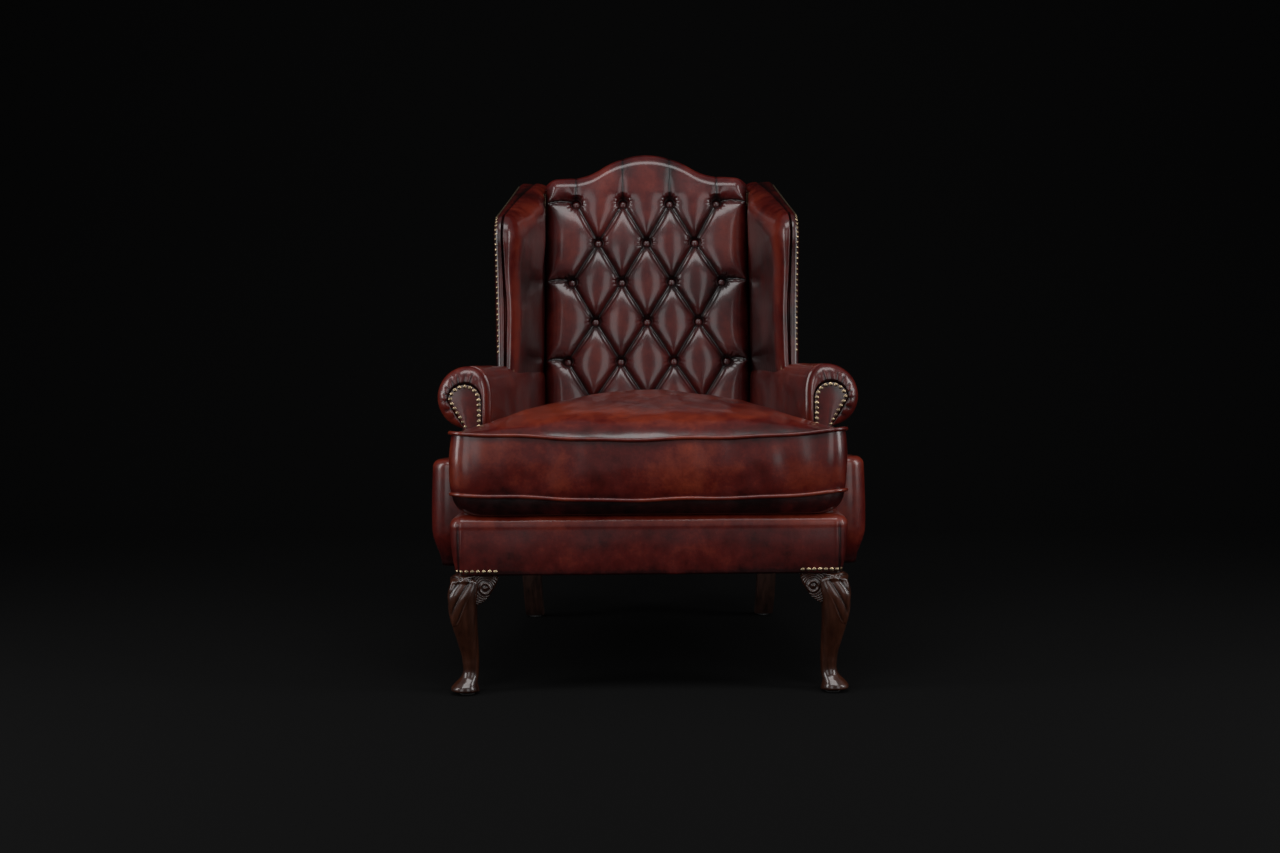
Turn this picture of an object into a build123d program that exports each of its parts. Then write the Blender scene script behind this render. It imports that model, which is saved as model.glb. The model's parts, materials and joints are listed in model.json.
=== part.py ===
from build123d import *
from math import asin, atan2, cos, degrees, radians, sin, sqrt, tan
import os

os.makedirs("parts", exist_ok=True)

# A tufted leather wingback chair. It stands on z = 0 and faces -Y, and left means -X.
# Pieces of one side are made at +X and mirrored to the left.

# Clearances
loose_gap = 0.3
overrun = 40

# Seat frame
leg_height = 222
cover_thickness = 1.5
rail_height = 79.5
rail_thickness = 30
front_face = -415
seat_depth = 688
stump_side = 42
stump_inner = 308
rail_setback = 1
post_inner = 255
post_width = 42
post_depth = 42
post_recess = 6
side_rail_rear = 300

# Raked back
back_rake = 9
rake_rise = 69

# Feet
glide_height = 4
glide_radius = 14
rear_foot_front = 383
rear_foot_rear = 416

# Front border
border_wall = 12
border_depth = 114.7
border_bottom_half = 356
border_half = 366
border_corner = 22
lip_height = 14
lip_inset = 12
lip_height_share = 0.55
lip_inset_share = 0.22

# Deck and springs
deck_rise = 28
hessian_drop = 7
hessian_thickness = 2
spring_drop = 13
spring_count = 5
spring_pitch = 98
spring_turns = 17
spring_turn_radius = 17
spring_half_width = 20
wire_radius = 1.9
clip_width = 18
clip_depth = 9
clip_height = 8

# Arms
arm_setback = 120
arm_rise = 274
arm_inner_front = 306
arm_inner_rear = 236
arm_bend = 200
arm_end = 310
roll_front_radius = 60
roll_bend_radius = 40
roll_end_radius = 34
roll_front_reach = 37
roll_bend_reach = 32
roll_end_reach = 30
neck_front = 352
neck_rear = 297
panel_thickness = 8
arm_edge_radius = 9
facing_thickness = 5
facing_inner = 318
facing_neck = 351
facing_head_radius = 31
facing_head_drop = 66
facing_waist_drop = 48

# Arm and wing frame
arm_stump_thickness = 28
arm_stump_depth = 60
arm_stump_setback = 20
arm_stump_outer = 339
arm_rail_height = 30
arm_rail_drop = 65
arm_rail_front = 325
arm_rail_rear = 276
wing_post_bottom_inner = 279
wing_post_thickness = 24
wing_post_depth = 28
wing_post_front = -39
wing_post_drop = 59
wing_rail_depth = 30
wing_rail_rise = 78
wing_rail_rear_inner = 262

# Side panels
side_panel_height = 205
side_panel_front = 416
side_panel_rear = 322
side_panel_nose = 35
side_panel_level_shares = (0, 0.1, 0.23, 0.9, 0.97, 1)
side_panel_insets = (15, 6, 0, 0, 4, 12)

# Wings
wing_clearance = 0.5
wing_outer_front = 316
wing_outer_rear = 305
wing_step = 15.5
wing_foot_drop = 33
wing_low_front = -57
wing_low_drop = 15
wing_waist_front = -55
wing_waist_share = 0.196
wing_cheek_front = -73
wing_cheek_share = 0.526
wing_brow_front = -35
wing_brow_share = 0.6515
wing_peak_rear = 395
wing_peak_share = 0.899
wing_edge_radius = 15
wing_panel_drop = 12

# Camelback outline
crest_rise = 485
shoulder_drop = 52
hump_half = 105
hump_drop = 31.6
shoulder_half = 173
crest_cover = 20
crest_rail_thickness = 28
crest_rail_depth = 152
lower_rail_rise = 74
lower_rail_height = 40

# Tufted back
webbing_count = 7
webbing_pitch = 57
webbing_width = 45
webbing_thickness = 2
pad_thickness = 33
pillow_height = 32
pillow_level_shares = (0, 0.5, 0.85, 1)
pillow_scale_shares = (0.985, 0.93, 0.72, 0.4)
tuft_rows = 6
tuft_top_drop = 116
tuft_pitch_share = 0.1212
tuft_spread = 109
tuft_spread_step = 3.3
tuft_side_margin = 8
tuft_crest_margin = 10
tuft_bottom_margin = 26
tuft_corner = 23
wide_row_shares = (-1.5, -0.5, 0.5, 1.5)
narrow_row_shares = (-1, 0, 1)
button_radius = 10
button_height = 8
button_clearance = 0.5
twine_radius = 1.5

# Loose T-cushion
cushion_front = -423
ear_half = 361
ear_back = -313
cushion_body_front = 296
cushion_body_rear = 224.5
cushion_back = 212
under_height = 31
boxing_height = 114
boxing_bulge = 5
crown_height = 77
crown_level_shares = (0, 0.13, 0.31, 0.52, 0.675, 0.78, 0.92, 1)
crown_width_shares = (1, 0.93, 0.82, 0.69, 0.57, 0.47, 0.27, 0.09)
crown_depth_shares = (1, 0.955, 0.87, 0.75, 0.62, 0.5, 0.28, 0.1)
crown_shift_shares = (0, 0.01, 0.03, 0.07, 0.13, 0.19, 0.305, 0.43)
under_level_shares = (0, 0.4, 1)
under_scale_shares = (0.9, 0.96, 1)
ear_corner = 34
ear_back_corner = 22
neck_corner = 14
rear_corner = 28
piping_radius = 3.5
piping_gap = 0.4

# Cabriole legs
leg_level_shares = (1, 0.752, 0.569, 0.413, 0.252, 0.119, 0.037, 0)
leg_face_shares = (1.02, 1.0457, 1.04, 1.0143, 0.9914, 1, 1.0371, 1.0314)
leg_width_shares = (1.1667, 1.1429, 1.0952, 0.9048, 0.7381, 0.8095, 1.1429, 1.0714)
leg_round_shares = (0.2, 0.36, 0.42, 0.46, 0.49, 0.49, 0.49, 0.49)
knee_block_reach = 277
knee_block_drop = 52
knee_block_thickness = 22
knee_block_tip = 8
knee_block_setback = 5
knee_side_reach = 42
knee_curve_shares = (0.62, 0.5)

# Fasteners
dowel_radius = 4
dowel_length = 50
dowel_low = 21
dowel_high = 61
side_dowel_low = 34
side_dowel_high = 48
screw_radius = 2.5
screw_length = 55
screw_head_radius = 5
screw_head_height = 3
screw_rise = 41
block_leg = 70
block_rise = 12
block_height = 48
front_screw_share = 0.25
rear_screw_shares = (0.17, 0.33)
back_dowel_shares = (0.25, 0.75)
nail_radius = 4
nail_dome = 2
nail_pitch = 10
wing_nail_pitch = 11
leg_nail_pitch = 10.6
leg_nail_count = 8
leg_nail_rise = 7
leg_nail_first = 281
back_nail_pitch = 20
back_nail_inset = 8
facing_nail_inset = 4
facing_nail_rise = 47
wing_nail_turn = 45
wing_nail_sink = 0.4

# Heights and places that follow
rail_bottom = leg_height + cover_thickness
rail_top = rail_bottom + rail_height
deck_top = rail_top + deck_rise
rake_start = deck_top + rake_rise
arm_top = deck_top + arm_rise
facing_head_height = arm_top - facing_head_drop
facing_waist = facing_head_height - facing_waist_drop
facing_nail_start = rail_top + facing_nail_rise
arm_rail_bottom = arm_top - arm_rail_drop
crest_height = arm_top + crest_rise
shoulder_height = crest_height - shoulder_drop
crest_rail_bottom = crest_height - crest_rail_depth
lower_rail_bottom = deck_top + lower_rail_rise
wing_foot = arm_top - wing_foot_drop
wing_low = (wing_low_front, arm_top - wing_low_drop)
wing_waist = (wing_waist_front, arm_top + wing_waist_share * crest_rise)
wing_cheek = (wing_cheek_front, arm_top + wing_cheek_share * crest_rise)
wing_brow = (wing_brow_front, arm_top + wing_brow_share * crest_rise)
wing_peak = (wing_peak_rear, arm_top + wing_peak_share * crest_rise)
wing_post_top = wing_brow[1] - wing_post_drop
tuft_top = crest_height - tuft_top_drop
tuft_pitch = tuft_pitch_share * (crest_height - deck_top)
seam_low = deck_top + under_height
seam_high = seam_low + boxing_height
rail_front = front_face + border_wall
front_rail_back = rail_front + rail_thickness
stump_outer = stump_inner + stump_side
stump_back = rail_front + stump_side
leg_levels = [glide_height + share * (leg_height - glide_height) for share in leg_level_shares]
leg_outer_faces = [share * stump_outer for share in leg_face_shares]
leg_widths = [share * stump_side for share in leg_width_shares]
post_front = front_face + seat_depth
post_rear = post_front + post_depth
post_outer = post_inner + post_width
back_rail_front = post_front + post_recess
border_back = front_face + border_depth
arm_front = front_face + arm_setback
lean = radians(back_rake)
peak = (crest_height - rake_start) / cos(lean)
shoulder = (shoulder_height - rake_start) / cos(lean)
post_head = shoulder - crest_cover
back_plane = Plane(origin=(0, post_front, rake_start), x_dir=(1, 0, 0), z_dir=(0, -cos(lean), sin(lean)))


def save(part, label):
    """Name a finished piece and write its file."""
    part.label = label
    export_step(part, f"parts/{label}.step")


def save_pair(right, name):
    """Write a piece of the right side, and its mirror image on the left."""
    save(right, name + "_right")
    with BuildPart() as left:
        mirror(right, about=Plane.YZ)
    save(left.part, name + "_left")


def line_at(start, end, place):
    """The value at a place along a straight line between two (place, value) ends."""
    share = (place - start[0]) / (end[0] - start[0])
    return start[1] + share * (end[1] - start[1])


def rail_outer(y):
    return line_at((stump_back, stump_outer - rail_setback), (post_rear, side_rail_rear), y)


def rail_inner(y):
    return rail_outer(y) - rail_thickness


def arm_inner(y):
    if y > arm_bend:
        return arm_inner_rear
    return line_at((arm_front, arm_inner_front), (arm_bend, arm_inner_rear), y)


def arm_neck(y):
    if y > arm_end:
        return neck_rear
    return line_at((arm_front, neck_front), (arm_end, neck_rear), y)


def wing_outer(y):
    return line_at((wing_cheek[0], wing_outer_front), (wing_peak[0] + overrun, wing_outer_rear), y)


def up_back(height):
    """The distance up the raked back face that reaches a height."""
    return (height - rake_start) / cos(lean)


def behind_back(setback, lowest=0):
    """The side outline, as (y, z), of all that lies behind the back face by a setback."""
    bend = rake_start - setback * tan(lean / 2)
    top = crest_height + overrun
    face_top = post_front + setback + (top - bend) * tan(lean)
    far = face_top + seat_depth
    face = post_front + setback
    return [(face, lowest), (face, bend), (face_top, top), (far, top), (far, lowest)]


def cut_behind(setback):
    """Cut away all that lies behind the back face by a setback."""
    with BuildSketch(Plane.YZ.offset(-side_panel_front)) as behind:
        Polygon(*behind_back(setback), align=None)
    extrude(behind.sketch, amount=2 * side_panel_front, mode=Mode.SUBTRACT)


def mirrored(points):
    """A closed outline from its points at +X, front to back."""
    return points + [(-x, y) for x, y in reversed(points)]


# Dowels: each sits half in one piece and half in the other.

def dowel_places():
    """Each dowel as its middle and its direction."""
    places = []
    front_middle = rail_front + rail_thickness / 2
    back_middle = back_rail_front + rail_thickness / 2
    for side in (-1, 1):
        for rise in (dowel_low, dowel_high):
            places.append(((side * stump_inner, front_middle, rail_bottom + rise), (1, 0, 0)))
            places.append(((side * post_inner, back_middle, rail_bottom + rise), (1, 0, 0)))
        for rise in (side_dowel_low, side_dowel_high):
            front_x = rail_outer(stump_back) - rail_thickness / 2
            rear_x = rail_outer(post_front) - rail_thickness / 2
            places.append(((side * front_x, stump_back, rail_bottom + rise), (0, 1, 0)))
            places.append(((side * rear_x, post_front, rail_bottom + rise), (0, 1, 0)))
        for share in back_dowel_shares:
            low = back_plane.from_local_coords(
                (side * post_inner, up_back(lower_rail_bottom) + share * lower_rail_height,
                 -crest_rail_thickness / 2))
            run = post_head - up_back(crest_rail_bottom)
            high = back_plane.from_local_coords(
                (side * post_inner, up_back(crest_rail_bottom) + share * run, -crest_rail_thickness / 2))
            places.append((low, (1, 0, 0)))
            places.append((high, (1, 0, 0)))
    return places


with BuildPart() as dowels:
    for middle, direction in dowel_places():
        with BuildSketch(Plane(origin=middle, z_dir=direction)):
            Circle(dowel_radius)
        extrude(amount=dowel_length / 2, both=True)
save(dowels.part, "dowels")


# Corner screws run from each block towards its leg.

block_bottom = rail_bottom + block_rise
screw_height = rail_bottom + screw_rise


def screw_planes():
    """A plane at each screw's head, facing out of the corner, one for each corner."""
    planes = []
    front_in = front_screw_share * block_leg
    rear_in, rear_forward = [share * block_leg for share in rear_screw_shares]
    for side in (-1, 1):
        front = (side * (stump_inner - front_in), stump_back + front_in, screw_height)
        rear = (side * (post_inner - rear_in), post_front - rear_forward, screw_height)
        planes.append(Plane(origin=front, x_dir=(0, 0, 1), z_dir=(-side, 1, 0)))
        planes.append(Plane(origin=rear, x_dir=(0, 0, 1), z_dir=(-side, -1, 0)))
    return planes


with BuildPart() as corner_screws:
    for plane in screw_planes():
        with BuildSketch(plane):
            Circle(screw_radius)
        extrude(amount=-screw_length)
        with BuildSketch(plane):
            Circle(screw_head_radius)
        extrude(amount=screw_head_height)
save(corner_screws.part, "corner_screws")

with BuildPart() as corner_blocks:
    front_block = [
        (stump_inner - block_leg, front_rail_back), (stump_inner, front_rail_back),
        (stump_inner, stump_back), (rail_inner(stump_back), stump_back),
        (rail_inner(stump_back + block_leg), stump_back + block_leg)]
    rear_block = [
        (post_inner - block_leg, back_rail_front), (post_inner, back_rail_front),
        (post_inner, post_front), (rail_inner(post_front), post_front),
        (rail_inner(post_front - block_leg), post_front - block_leg)]
    for outline in (front_block, rear_block):
        for side in (-1, 1):
            with BuildSketch(Plane.XY.offset(block_bottom)):
                Polygon(*[(side * x, y) for x, y in outline], align=None)
            extrude(amount=block_height)
    add(corner_screws.part, mode=Mode.SUBTRACT)
    for plane in screw_planes():
        with BuildSketch(plane):
            Circle(screw_head_radius)
        extrude(amount=overrun, mode=Mode.SUBTRACT)
save(corner_blocks.part, "corner_blocks")


# Seat rails

with BuildPart() as front_rail:
    with BuildSketch(Plane.XY.offset(rail_bottom)):
        Polygon(*mirrored([(stump_inner, rail_front), (stump_inner, front_rail_back)]), align=None)
    extrude(amount=rail_height)
    add(dowels.part, mode=Mode.SUBTRACT)
save(front_rail.part, "front_rail")

with BuildPart() as back_rail:
    with BuildSketch(Plane.XY.offset(rail_bottom)):
        back_rail_rear = back_rail_front + rail_thickness
        Polygon(*mirrored([(post_inner, back_rail_front), (post_inner, back_rail_rear)]), align=None)
    extrude(amount=rail_height)
    add(dowels.part, mode=Mode.SUBTRACT)
save(back_rail.part, "back_rail")

with BuildPart() as side_rail:
    with BuildSketch(Plane.XY.offset(rail_bottom)):
        Polygon(
            (rail_inner(stump_back), stump_back), (rail_outer(stump_back), stump_back),
            (rail_outer(post_front), post_front), (rail_inner(post_front), post_front), align=None)
    extrude(amount=rail_height)
    add(dowels.part, mode=Mode.SUBTRACT)
save_pair(side_rail.part, "side_rail")


# Front legs: a square stump in the frame over a cabriole leg with a pad foot

with BuildPart() as front_leg:
    for level, outer, width, share in zip(leg_levels, leg_outer_faces, leg_widths, leg_round_shares):
        middle_x = outer - width / 2
        middle_y = stump_back - stump_side - (outer - stump_outer) + width / 2
        with BuildSketch(Plane(origin=(middle_x, middle_y, level), z_dir=(0, 0, 1))):
            RectangleRounded(width, width, share * width)
    loft()
    with BuildSketch(Plane.XY.offset(leg_height)):
        Polygon(
            (stump_inner, rail_front), (stump_outer, rail_front),
            (stump_outer, stump_back), (stump_inner, stump_back), align=None)
    extrude(amount=rail_top - leg_height)
    add(dowels.part, mode=Mode.SUBTRACT)
    add(corner_screws.part, mode=Mode.SUBTRACT)
save_pair(front_leg.part, "front_leg")


def knee_bracket(reach, root):
    """A bracket's outline, from its root at the leg to its tip, under the seat frame."""
    along_share, down_share = knee_curve_shares
    belly = (reach + along_share * (root - reach), leg_height - down_share * knee_block_drop)
    with BuildLine() as outline:
        top = Line((root, leg_height), (reach, leg_height))
        tip = Line(top @ 1, (reach, leg_height - knee_block_tip))
        ThreePointArc(tip @ 1, belly, (root, leg_height - knee_block_drop))
        Line((root, leg_height - knee_block_drop), top @ 0)
    return outline.line


with BuildPart() as knee_blocks_right:
    block_front = front_face + knee_block_setback
    with BuildSketch(Plane.XZ.offset(-block_front)):
        make_face(knee_bracket(knee_block_reach, stump_inner))
    extrude(amount=-knee_block_thickness)
    block_side = border_bottom_half - knee_block_setback
    with BuildSketch(Plane.YZ.offset(block_side)):
        make_face(knee_bracket(stump_back + knee_side_reach, stump_back))
    extrude(amount=-knee_block_thickness)
with BuildPart() as knee_blocks:
    add(knee_blocks_right.part)
    mirror(knee_blocks_right.part, about=Plane.YZ)
save(knee_blocks.part, "knee_blocks")


# Rear legs run on up as the raked posts of the back

with BuildPart() as rear_post:
    with BuildSketch(Plane.YZ.offset(post_inner)):
        with BuildLine():
            rear_bend = rake_start - post_depth * tan(lean / 2)
            head_front = back_plane.from_local_coords((0, post_head, 0))
            head_rear = back_plane.from_local_coords((0, post_head, -post_depth))
            shin = TangentArc((post_front, leg_height), (rear_foot_front, glide_height), tangent=(0, -1))
            calf = TangentArc((post_rear, leg_height), (rear_foot_rear, glide_height), tangent=(0, -1))
            Line(shin @ 1, calf @ 1)
            Polyline(
                shin @ 0, (post_front, rake_start), (head_front.Y, head_front.Z),
                (head_rear.Y, head_rear.Z), (post_rear, rear_bend), calf @ 0)
        make_face()
    extrude(amount=post_width)
    add(dowels.part, mode=Mode.SUBTRACT)
    add(corner_screws.part, mode=Mode.SUBTRACT)
save_pair(rear_post.part, "rear_post")

with BuildPart() as glides:
    front_x = leg_outer_faces[-1] - leg_widths[-1] / 2
    front_y = stump_back - stump_side - (leg_outer_faces[-1] - stump_outer) + leg_widths[-1] / 2
    rear_x = post_inner + post_width / 2
    rear_y = (rear_foot_front + rear_foot_rear) / 2
    with BuildSketch(Plane.XY):
        with Locations((front_x, front_y), (-front_x, front_y), (rear_x, rear_y), (-rear_x, rear_y)):
            Circle(glide_radius)
    extrude(amount=glide_height)
save(glides.part, "glides")


# Back rails, between the posts

with BuildPart() as lower_back_rail:
    with BuildSketch(back_plane):
        low = up_back(lower_rail_bottom)
        high = low + lower_rail_height
        Polygon(*mirrored([(post_inner, low), (post_inner, high)]), align=None)
    extrude(amount=-crest_rail_thickness)
    add(dowels.part, mode=Mode.SUBTRACT)
save(lower_back_rail.part, "lower_back_rail")


def crest_outline(half, bottom, drop=0):
    """The camelback's outline from its bottom edge to its crest."""
    with BuildLine() as outline:
        hump = ThreePointArc(
            (hump_half, peak - hump_drop - drop), (0, peak - drop), (-hump_half, peak - hump_drop - drop))
        left = TangentArc(hump @ 1, (-shoulder_half, shoulder - drop), tangent=hump % 1)
        right = TangentArc(hump @ 0, (shoulder_half, shoulder - drop), tangent=-(hump % 0))
        Polyline(
            left @ 1, (-half, shoulder - drop), (-half, bottom), (half, bottom),
            (half, shoulder - drop), right @ 1)
    return outline.line


def crest_at(x):
    """The height of the camelback outline, up the back face, at a distance from the middle."""
    rise = peak - shoulder
    hump_radius = (hump_half ** 2 + hump_drop ** 2) / (2 * hump_drop)
    sweep_half = shoulder_half - hump_half
    sweep_drop = rise - hump_drop
    sweep_radius = (sweep_half ** 2 + sweep_drop ** 2) / (2 * sweep_drop)
    if abs(x) < hump_half:
        return peak - hump_radius + sqrt(hump_radius ** 2 - x ** 2)
    if abs(x) < shoulder_half:
        return shoulder + sweep_radius - sqrt(sweep_radius ** 2 - (shoulder_half - abs(x)) ** 2)
    return shoulder


with BuildPart() as crest_rail:
    with BuildSketch(back_plane):
        make_face(crest_outline(post_inner, up_back(crest_rail_bottom), crest_cover))
    extrude(amount=-crest_rail_thickness)
    add(dowels.part, mode=Mode.SUBTRACT)
save(crest_rail.part, "crest_rail")


# Arm frame

def skewed_bar(name, plan, side):
    """A bar that is sawn to one outline in plan and another from the side."""
    with BuildPart() as bar:
        with BuildSketch(Plane.XY):
            Polygon(*plan, align=None)
        extrude(amount=crest_height)
        with BuildSketch(Plane.YZ):
            Polygon(*side, align=None)
        extrude(amount=side_panel_front, mode=Mode.INTERSECT)
        cut_behind(0)
    save_pair(bar.part, name)
    return bar.part


arm_stump_front = arm_front + arm_stump_setback
arm_stump_rear = arm_stump_front + arm_stump_depth
with BuildPart() as arm_stump:
    with BuildSketch(Plane.XY.offset(rail_top)):
        arm_stump_inner = arm_stump_outer - arm_stump_thickness
        Polygon(
            (arm_stump_inner, arm_stump_front), (arm_stump_outer, arm_stump_front),
            (arm_stump_outer, arm_stump_rear), (arm_stump_inner, arm_stump_rear), align=None)
    extrude(amount=arm_rail_bottom - rail_top)
save_pair(arm_stump.part, "arm_stump")

half_bar = arm_stump_thickness / 2
arm_rail_top = arm_rail_bottom + arm_rail_height
far_rear = post_rear + post_depth
arm_rail = skewed_bar(
    "arm_rail",
    [(arm_rail_front - half_bar, arm_stump_front), (arm_rail_front + half_bar, arm_stump_front),
     (arm_rail_rear + half_bar, far_rear), (arm_rail_rear - half_bar, far_rear)],
    [(arm_stump_front, arm_rail_bottom), (far_rear, arm_rail_bottom),
     (far_rear, arm_rail_top), (arm_stump_front, arm_rail_top)])

wing_post_rear = wing_post_front + wing_post_depth
wing_post_outer = wing_post_bottom_inner + wing_post_thickness
with BuildPart() as wing_post:
    with BuildSketch(Plane.XY.offset(arm_rail_top)):
        Polygon(
            (wing_post_bottom_inner, wing_post_front), (wing_post_outer, wing_post_front),
            (wing_post_outer, wing_post_rear), (wing_post_bottom_inner, wing_post_rear), align=None)
    extrude(amount=wing_post_top - arm_rail_top)
save_pair(wing_post.part, "wing_post")

wing_rail_rear = post_rear + 2 * post_depth
wing_rail = skewed_bar(
    "wing_rail",
    [(wing_post_bottom_inner, wing_post_front), (wing_post_outer, wing_post_front),
     (wing_rail_rear_inner + wing_post_thickness, wing_rail_rear), (wing_rail_rear_inner, wing_rail_rear)],
    [(wing_post_front, wing_post_top), (wing_post_rear, wing_post_top),
     (wing_rail_rear, wing_post_top + wing_rail_rise),
     (wing_rail_rear, wing_post_top + wing_rail_rise + wing_rail_depth),
     (wing_post_front, wing_post_top + wing_rail_depth)])


# Seat suspension

spring_height = rail_top - spring_drop
spring_xs = [(i - (spring_count - 1) / 2) * spring_pitch for i in range(spring_count)]


def spring_path(x):
    """A serpentine line from the front rail to the back rail."""
    wave = 2 * spring_turn_radius
    span = back_rail_front - front_rail_back - 2 * loose_gap
    straight = (span - (spring_turns + 1) * wave) / 2
    with BuildLine(Plane.XY.offset(spring_height)) as path:
        run = Line((x, front_rail_back + loose_gap), (x, front_rail_back + loose_gap + straight))
        turn = JernArc(run @ 1, run % 1, spring_turn_radius, -90)
        run = PolarLine(turn @ 1, spring_half_width, direction=turn % 1)
        sweep_angle = 180
        for i in range(spring_turns):
            turn = JernArc(run @ 1, run % 1, spring_turn_radius, sweep_angle)
            length = spring_half_width * (1 if i == spring_turns - 1 else 2)
            run = PolarLine(turn @ 1, length, direction=turn % 1)
            sweep_angle = -sweep_angle
        turn = JernArc(run @ 1, run % 1, spring_turn_radius, sweep_angle / 2)
        Line(turn @ 1, (x, back_rail_front - loose_gap))
    return path.wire()


with BuildPart() as seat_springs:
    for x in spring_xs:
        path = spring_path(x)
        with BuildSketch(Plane(origin=path @ 0, z_dir=path % 0)):
            Circle(wire_radius)
        sweep(path=path)
save(seat_springs.part, "seat_springs")

with BuildPart() as spring_clips:
    for x in spring_xs:
        for face, way in ((front_rail_back, 1), (back_rail_front, -1)):
            with BuildSketch(Plane(origin=(x, face, spring_height), x_dir=(1, 0, 0), z_dir=(0, way, 0))):
                Rectangle(clip_width, clip_height)
                Circle(wire_radius + loose_gap, mode=Mode.SUBTRACT)
            extrude(amount=clip_depth)
save(spring_clips.part, "spring_clips")


def frame_bay(side_line, front_y, rear_y):
    """The outline inside the seat frame, notched round the leg stumps and the back posts."""
    return mirrored([
        (stump_inner, front_y), (stump_inner, stump_back), (side_line(stump_back), stump_back),
        (side_line(post_front), post_front), (post_inner, post_front), (post_inner, rear_y)])


with BuildPart() as seat_hessian:
    with BuildSketch(Plane.XY.offset(rail_top - hessian_drop)):
        Polygon(*frame_bay(rail_inner, front_rail_back, back_rail_front), align=None)
    extrude(amount=hessian_thickness)
save(seat_hessian.part, "seat_hessian")

with BuildPart() as dust_cover:
    with BuildSketch(Plane.XY.offset(leg_height)):
        Polygon(*frame_bay(rail_outer, rail_front, back_rail_front + rail_thickness), align=None)
    extrude(amount=cover_thickness)
save(dust_cover.part, "dust_cover")

deck_bottom = rail_top - hessian_drop + hessian_thickness
with BuildPart() as deck_pad:
    deck_front = border_back + loose_gap
    with BuildSketch(Plane.XY.offset(deck_bottom)):
        Polygon(*mirrored([
            (arm_inner(deck_front) - loose_gap, deck_front), (arm_inner_rear - loose_gap, arm_bend),
            (arm_inner_rear - loose_gap, post_front - loose_gap)]), align=None)
    extrude(amount=deck_top - deck_bottom)
save(deck_pad.part, "deck_pad")


# Front border: a padded apron with a rounded lip over the front rail

def border_plan(half, inset):
    """The border's outline in plan, rounded at the two front corners."""
    front = front_face + inset
    side = half - inset
    rear = border_back
    with BuildLine() as outline:
        FilletPolyline(
            (-side, rear), (-side, front), (side, front), (side, rear), radius=border_corner - inset / 2)
        Line((side, rear), (-side, rear))
    return outline.line


with BuildPart() as front_border:
    lip_start = deck_top - lip_height
    for level, half, inset in (
            (leg_height, border_bottom_half, 0), (lip_start, border_half, 0),
            (lip_start + lip_height_share * lip_height, border_half, lip_inset_share * lip_inset),
            (deck_top, border_half, lip_inset)):
        with BuildSketch(Plane.XY.offset(level)):
            make_face(border_plan(half, inset))
    loft(ruled=True)
    with BuildSketch(Plane.XY):
        Polygon(*mirrored([
            (stump_outer, rail_front), (stump_outer, stump_back), (rail_outer(stump_back), stump_back),
            (rail_outer(border_back), border_back),
            (rail_outer(border_back), border_back + overrun)]), align=None)
    extrude(amount=rail_top, mode=Mode.SUBTRACT)
save(front_border.part, "front_border")


# Arms: a roll over a straight neck, thinner and closer in towards the back

def roll_shape(y):
    """The roll's middle across the chair and its radius, at one of the three arm sections."""
    shapes = {
        arm_front: (arm_inner_front + roll_front_reach, roll_front_radius),
        arm_bend: (arm_inner_rear + roll_bend_reach, roll_bend_radius),
        arm_end: (arm_inner_rear + roll_end_reach, roll_end_radius)}
    return shapes[y]


def roll_underside(y):
    """The height where the roll meets the neck's outer face."""
    centre, radius = roll_shape(y)
    return arm_top - radius - sqrt(radius ** 2 - (arm_neck(y) - centre) ** 2)


def arm_section(y):
    """The arm's outline at one place along it."""
    centre, radius = roll_shape(y)
    middle = arm_top - radius
    inner = arm_inner(y)
    start = (inner, middle + sqrt(radius ** 2 - (centre - inner) ** 2))
    end = (arm_neck(y), roll_underside(y))
    start_angle = atan2(start[1] - middle, start[0] - centre)
    end_angle = atan2(end[1] - middle, end[0] - centre)

    angles = [start_angle + i * (end_angle - start_angle) / 4 for i in range(5)]
    rim = [(centre + radius * cos(angle), middle + radius * sin(angle)) for angle in angles]
    with BuildLine() as outline:
        Line((inner, rail_top), rim[0])
        ThreePointArc(*rim[:3])
        ThreePointArc(*rim[2:])
        Polyline(rim[4], (arm_neck(y), rail_top), (inner, rail_top))
    return outline.line


with BuildPart() as arm_pad:
    for y in (arm_front, arm_bend, arm_end):
        with BuildSketch(Plane.XZ.offset(-y)):
            make_face(arm_section(y))
    loft(ruled=True)
    arm_face = arm_pad.faces().sort_by(Axis.Y)[0]
    arm_rim = arm_face.edges().filter_by(GeomType.CIRCLE)
    arm_rim.append(arm_face.edges().filter_by(Axis.Z).sort_by(Axis.X)[0])
    fillet(arm_rim, radius=arm_edge_radius)
    cut_behind(0)
    for inner_piece in (arm_stump.part, arm_rail, wing_post.part):
        add(inner_piece, mode=Mode.SUBTRACT)
save_pair(arm_pad.part, "arm_pad")

facing_front = arm_front - facing_thickness
facing_middle = facing_inner + facing_head_radius


def facing_outline(inset, bottom):
    """The scroll facing: a straight inner edge, a round head and a narrow neck."""
    radius = facing_head_radius - inset
    with BuildLine() as outline:
        rise = Line((facing_inner + inset, bottom), (facing_inner + inset, facing_head_height))
        left = TangentArc(rise @ 1, (facing_middle, facing_head_height + radius), tangent=rise % 1)
        right = TangentArc(left @ 1, (facing_middle + radius, facing_head_height), tangent=left % 1)
        Polyline(right @ 1, (facing_neck - inset, facing_waist), (facing_neck - inset, bottom))
    return outline.wire()


with BuildPart() as arm_facing:
    with BuildSketch(Plane.XZ.offset(-arm_front)):
        with BuildLine():
            add(facing_outline(0, rail_top).edges())
            Line((facing_neck, rail_top), (facing_inner, rail_top))
        make_face()
    extrude(amount=facing_thickness)
save_pair(arm_facing.part, "arm_facing")

with BuildPart() as outside_arm:
    for y in (arm_front, arm_bend, arm_end, far_rear):
        with BuildSketch(Plane.XZ.offset(-y)):
            neck = arm_neck(y)
            top = roll_underside(min(y, arm_end))
            Polygon(
                (neck, rail_top), (neck + panel_thickness, rail_top),
                (neck + panel_thickness, top), (neck, top), align=None)
    loft(ruled=True)
    cut_behind(post_depth)
save_pair(outside_arm.part, "outside_arm")


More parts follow.
